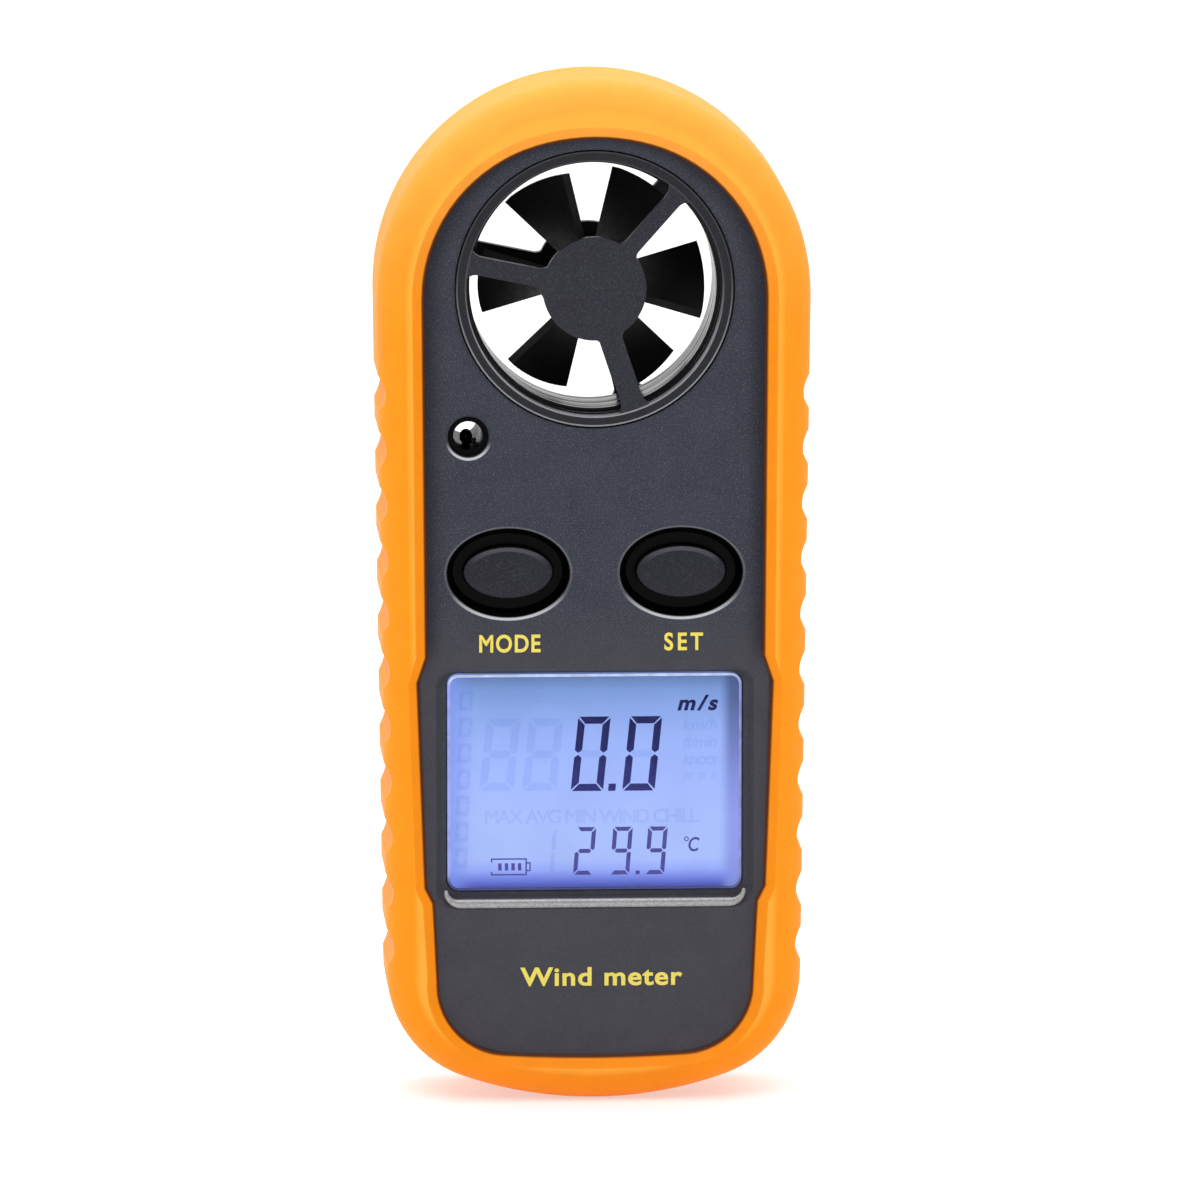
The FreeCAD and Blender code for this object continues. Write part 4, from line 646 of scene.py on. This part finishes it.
SILL_Y = CASE_LOW.y + 0.12
INK_Y = GLASS_LOW.y - 0.035
GHOST_Y = GLASS_LOW.y - 0.015
INK_THICK = 0.012

# Segment figures in mm: width, height, bar, how far the top leans to the right, gap between bars
SPEED_FIGURE = (3.55, 8.25, 0.80, 0.85, 0.14)
UNLIT_FIGURE = (3.75, 8.0, 0.88, 0.85, 0.16)
TEMPERATURE_FIGURE = (2.15, 5.3, 0.46, 0.42, 0.14)
SIDE_MARK = (1.5, 2.2, 0.42, 0.15, 0.02)
SPEED_LEFTS, SPEED_FOOT, UNLIT_FOOT = (-2.55, 3.1), -22.2, -22.1
TEMPERATURE_LEFTS, TEMPERATURE_FOOT = (-2.3, 1.72, 5.55), -31.5
UNLIT_LEFTS = (-12.6, -7.9)
SIDE_MARKS, SIDE_LEFT, SIDE_FOOT, SIDE_LEAN, SIDE_PITCH = 7, -15.4, -30.6, 0.1, 2.9
UNIT_X, UNIT_Z, UNIT_PITCH = 11.7, -14.9, 1.9
RING_STEPS = 16


def printed(name, outlines, y, material):
    """Flat marks on the glass, as one piece."""
    faces = [face for shape in outlines for face in plate(shape, y, INK_THICK)]
    piece(name, faces, material)


def build_figures():
    """The lit wind speed and air temperature."""
    figures = [outline for left in SPEED_LEFTS for outline in digit("0", left, SPEED_FOOT, *SPEED_FIGURE)]
    figures.append(box_outline(1.55, 2.35, SPEED_FOOT, SPEED_FOOT + 0.8, 0.08))
    printed("display_large_figures", figures, INK_Y, "lcd_ink")

    figures = []
    for text, left in zip("299", TEMPERATURE_LEFTS):
        figures += digit(text, left, TEMPERATURE_FOOT, *TEMPERATURE_FIGURE)
    figures.append(box_outline(4.55, 5.0, TEMPERATURE_FOOT, TEMPERATURE_FOOT + 0.42, 0.04))
    printed("display_small_figures", figures, INK_Y, "lcd_ink_thin")


def build_units():
    """The lit unit of speed, and the degree sign with its letter."""
    lettering("display_speed_unit", "m/s", (11.5, -12.5), 1.75, 4.7, INK_Y, "lcd_ink",
              lean=0.45, weight=0.035, stretch=1.1, thick=INK_THICK)
    lettering("display_degree_letter", "C", (10.95, -28.2), 1.6, 1.05, INK_Y, "lcd_ink_thin",
              lean=0.2, weight=0.015, stretch=0.8, thick=INK_THICK)
    centre_x, centre_z, outer, inner = 10.15, -27.6, 0.27, 0.16
    ring = []
    for index in range(RING_STEPS):
        a, b = (math.tau * step / RING_STEPS for step in (index, index + 1))
        ring.append([(centre_x + r * math.cos(t), centre_z + r * math.sin(t))
                     for r, t in ((inner, a), (outer, a), (outer, b), (inner, b))])
    printed("display_degree_ring", ring, INK_Y, "lcd_ink_thin")


def build_battery_icon():
    """A battery in outline with its four bars lit, open at two corners."""
    line, left, right, low, high = 0.16, -11.3, -7.35, -31.5, -29.6
    cap_low, cap_high = -31.05, -30.05
    bar_left, bar_right, bar_low, bar_high, bar_pitch = -10.5, -10.12, -30.95, -30.15, 0.72
    icon = [
        box_outline(left, right, high - line, high),
        box_outline(left, right, low, low + line),
        box_outline(right - line, right, low + line, high - line),
        box_outline(left, left + line, high - 0.45, high - line),
        box_outline(left, left + line, low + line, low + 0.4),
        box_outline(right, right + 0.4, cap_high - 0.15, cap_high),
        box_outline(right, right + 0.4, cap_low, cap_low + 0.15),
        box_outline(right + 0.27, right + 0.42, cap_low + 0.15, cap_high - 0.15),
    ]
    for index in range(4):
        along = index * bar_pitch
        icon.append(box_outline(bar_left + along, bar_right + along, bar_low, bar_high))
    printed("display_battery_icon", icon, INK_Y, "lcd_ink_thin")


def build_ghosts():
    """The unlit segments and words that show faintly in the glass."""
    ghosts = [outline for left in UNLIT_LEFTS for outline in digit("8", left, UNLIT_FOOT, *UNLIT_FIGURE)]
    for left in SPEED_LEFTS:
        ghosts.append(digit("8", left, SPEED_FOOT, *SPEED_FIGURE)[-1])
    ghosts += digit("1", -6.6, TEMPERATURE_FOOT, *TEMPERATURE_FIGURE)
    for index in range(SIDE_MARKS):
        ghosts += digit("0", SIDE_LEFT + index * SIDE_LEAN, SIDE_FOOT + index * SIDE_PITCH, *SIDE_MARK)
    printed("display_ghost_figures", ghosts, GHOST_Y, "lcd_ghost")
    lettering("display_ghost_row", "MAX AVG MIN WIND CHILL", (-0.2, -25.0), 1.6, 23.5, GHOST_Y,
              "lcd_ghost", weight=0.02, thick=INK_THICK)
    for index, text in enumerate(("km/h", "ft/min", "knots", "mph")):
        centre = (UNIT_X, UNIT_Z - index * UNIT_PITCH)
        lettering(f"display_ghost_unit_{index}", text, centre, 1.35, 4.0, GHOST_Y,
                  "lcd_ghost", lean=0.35, weight=0.02, thick=INK_THICK)


# The text, middle, cap height, width and stretch of each label printed on the case
LABELS = {
    "mode": ("MODE", (-9.3, -5.45), 2.0, 6.7, 0.84),
    "set": ("SET", (9.7, -5.35), 2.0, 4.25, 0.84),
    "product": ("Wind meter", (0.7, -42.4), 2.1, 17.8, 1.15),
}


def build_labels():
    """Yellow lettering beside the keys and below the display."""
    front = CASE_LOW.y - 0.03
    for name, (text, centre, cap, width, stretch) in LABELS.items():
        lettering("label_" + name, text, centre, cap, width, front, "print_yellow",
                  weight=0.025, stretch=stretch)


def build_pane_rim():
    """The polished edge of the window, glowing with painted backlight: bright along the top and left, dark
    along the foot.
    """
    margin, corner, wide, rise, bevel, quarter_steps = 1.0, 1.2, 0.24, 0.16, 0.05, 6
    half_x, half_z = PANE_HIGH.x - margin, (PANE_HIGH.z - PANE_LOW.z) / 2 - margin
    middle = (PANE_HIGH.z + PANE_LOW.z) / 2
    front = PANE_LOW.y - 0.02
    loops = []
    for inset, y in ((0.0, front + rise), (bevel, front), (wide, front), (wide + bevel, front + rise)):
        loop = []
        for quarter, (sx, sz) in enumerate(((1, 1), (-1, 1), (-1, -1), (1, -1))):
            for step in range(quarter_steps + 1):
                turn = math.radians(90 * (quarter + step / quarter_steps))
                reach = corner - inset
                loop.append((sx * (half_x - corner) + reach * math.cos(turn), y,
                             middle + sz * (half_z - corner) + reach * math.sin(turn)))
        loops.append(loop)
    faces = []
    for outer, inner in zip(loops, loops[1:] + loops[:1]):
        for index in range(len(outer)):
            after = (index + 1) % len(outer)
            faces.append([outer[index], outer[after], inner[after], inner[index]])
    piece("window_rim_light", faces, "pane_rim")


def build_cover_marks():
    """Printed at the back: a pointer on the battery cover, and dots where it locks and comes free."""
    thick, lift = 0.05, 0.02
    front = REAR_HIGH.y + lift - thick
    reach = (COVER_HIGH.x - COVER_LOW.x) / 2
    tip, foot, half = COVER_Z + reach - 0.9, COVER_Z + reach - 2.9, 1.1
    pointer = plate([(0, tip), (half, foot), (-half, foot)], front, thick)
    piece("cover_pointer", pointer, "mark_ink", "cover")

    dot, clear, dot_steps = 0.75, 1.6, 20
    marks = []
    for angle, hole in ((90, 0.0), (45, 0.45)):
        turn = math.radians(angle)
        x, z = (reach + clear) * math.cos(turn), COVER_Z + (reach + clear) * math.sin(turn)
        for step in range(dot_steps):
            a, b = (math.tau * count / dot_steps for count in (step, step + 1))
            outline = [(x + dot * math.cos(t), z + dot * math.sin(t)) for t in (a, b)]
            if hole:
                outline += [(x + hole * math.cos(t), z + hole * math.sin(t)) for t in (b, a)]
            else:
                outline.append((x, z))
            marks += plate(outline, front, thick)
    piece("cover_lock_marks", marks, "mark_ink")


def build_sill():
    """The bright half-round strip along the foot of the window recess, a painted highlight for the light
    caught there, its ends turned up and tapered.
    """
    reach, foot, bend, half, proud = 16.35, -34.25, 1.5, 0.52, 0.30
    turn_steps, straight_steps, sides = 6, 24, 10
    path = []
    for step in range(turn_steps + 1):
        turn = math.radians(180 + 90 * step / turn_steps)
        path.append((-reach + bend + bend * math.cos(turn), foot + bend + bend * math.sin(turn)))
    for step in range(1, straight_steps):
        path.append((-reach + bend + (reach - bend) * 2 * step / straight_steps, foot))
    path += [(-x, z) for x, z in path[turn_steps::-1]]
    last = len(path) - 1
    rings = []
    for index, (x, z) in enumerate(path):
        before, after = path[max(index - 1, 0)], path[min(index + 1, last)]
        along = Vector((after[0] - before[0], after[1] - before[1])).normalized()
        size = min(1.0, 0.35 + 0.65 * min(index, last - index) / turn_steps)
        ring = []
        for step in range(sides):
            turn = math.tau * step / sides
            side = half * size * math.cos(turn)
            ring.append((x - along.y * side, SILL_Y - proud * size * math.sin(turn), z + along.x * side))
        rings.append(ring)
    faces = [rings[0][::-1], rings[-1]]
    for first, second in zip(rings, rings[1:]):
        for index in range(sides):
            after = (index + 1) % sides
            faces.append([first[index], first[after], second[after], second[index]])
    sill = piece("window_sill_strip", faces, "sill_silver")
    for polygon in sill.data.polygons:
        polygon.use_smooth = True


build_figures()
build_units()
build_battery_icon()
build_ghosts()
build_labels()
build_pane_rim()
build_sill()
build_cover_marks()


# ---------------------------------------------------------------- floor, light and camera

def build_floor():
    """A pale sheet that the meter stands on, bright enough to run into the white behind it."""
    bm = bmesh.new()
    half = 6.0
    square = ((-half, -half), (half, -half), (half, half), (-half, half))
    bm.faces.new([bm.verts.new((x, y, FLOOR_Z)) for x, y in square])
    mesh = bpy.data.meshes.new("studio_floor")
    bm.to_mesh(mesh)
    bm.free()
    floor = bpy.data.objects.new("studio_floor", mesh)
    bpy.context.scene.collection.objects.link(floor)
    shader = Shader("studio_floor")
    tone = shader.mix(shader.noise(0.002, 2.0), (0.56, 0.56, 0.56, 1), (0.60, 0.60, 0.60, 1))
    mesh.materials.append(shader.surface(Base_Color=tone, Roughness=0.9, Emission_Color=(1, 1, 1, 1),
                                         Emission_Strength=0.45))


def area_light(name, place, aim, width, height, power):
    """A rectangular lamp turned towards a point, in metres and watts."""
    data = bpy.data.lights.new(name, "AREA")
    data.shape = "RECTANGLE"
    data.size, data.size_y = width, height
    data.energy = power
    lamp = bpy.data.objects.new(name, data)
    lamp.location = place
    lamp.rotation_mode = "QUATERNION"
    lamp.rotation_quaternion = (Vector(aim) - Vector(place)).to_track_quat("-Z", "Y")
    bpy.context.scene.collection.objects.link(lamp)


def build_world():
    """White surroundings that fall off to grey behind the camera, as in a small photo studio."""
    world = bpy.data.worlds.new("studio")
    world.use_nodes = True
    tree = world.node_tree
    direction = tree.nodes.new("ShaderNodeTexCoord")
    split = tree.nodes.new("ShaderNodeSeparateXYZ")
    tree.links.new(direction.outputs["Generated"], split.inputs[0])
    fade = tree.nodes.new("ShaderNodeMapRange")
    fade.interpolation_type = "SMOOTHSTEP"
    for key, value in (("From Min", -0.6), ("From Max", 0.3), ("To Min", 0.22), ("To Max", 1.05)):
        fade.inputs[key].default_value = value
    tree.links.new(split.outputs[1], fade.inputs["Value"])
    tree.links.new(fade.outputs[0], tree.nodes["Background"].inputs[1])
    tree.nodes["Background"].inputs[0].default_value = (1, 1, 1, 1)
    bpy.context.scene.world = world


def build_studio():
    """A white studio with soft light from above, in front and both sides."""
    build_floor()
    build_world()
    area_light("top_light", (0, 0.45, 1.3), (0, 0.35, 0), 2.2, 2.2, 22.0)
    area_light("key_light", (-0.1, -0.55, 0.7), (0, 0, 0), 0.5, 0.4, 2.6)
    area_light("fill_left", (-0.7, -0.5, 0.15), (0, 0, 0), 0.5, 0.7, 1.2)
    area_light("fill_right", (0.7, -0.45, 0.15), (0, 0, 0), 0.5, 0.7, 1.2)
    bpy.context.scene.view_settings.view_transform = "Standard"


def build_camera():
    """A long lens a little above the meter and to its left, with the meter nearly filling the picture."""
    distance, azimuth, elevation = 1.5, math.radians(-3.0), math.radians(8.5)
    sensor, view_width = 36.0, 0.1317
    aim = Vector((0.0010, 0, -0.0020))
    data = bpy.data.cameras.new("camera")
    data.sensor_width, data.lens = sensor, sensor * distance / view_width
    data.clip_start, data.clip_end = 0.05, 50
    camera = bpy.data.objects.new("camera", data)
    back = Vector((math.sin(azimuth) * math.cos(elevation), -math.cos(azimuth) * math.cos(elevation),
                   math.sin(elevation)))
    camera.location = aim + back * distance
    camera.rotation_mode = "QUATERNION"
    camera.rotation_quaternion = (-back).to_track_quat("-Z", "Y")
    bpy.context.scene.collection.objects.link(camera)
    bpy.context.scene.camera = camera


build_studio()
build_camera()
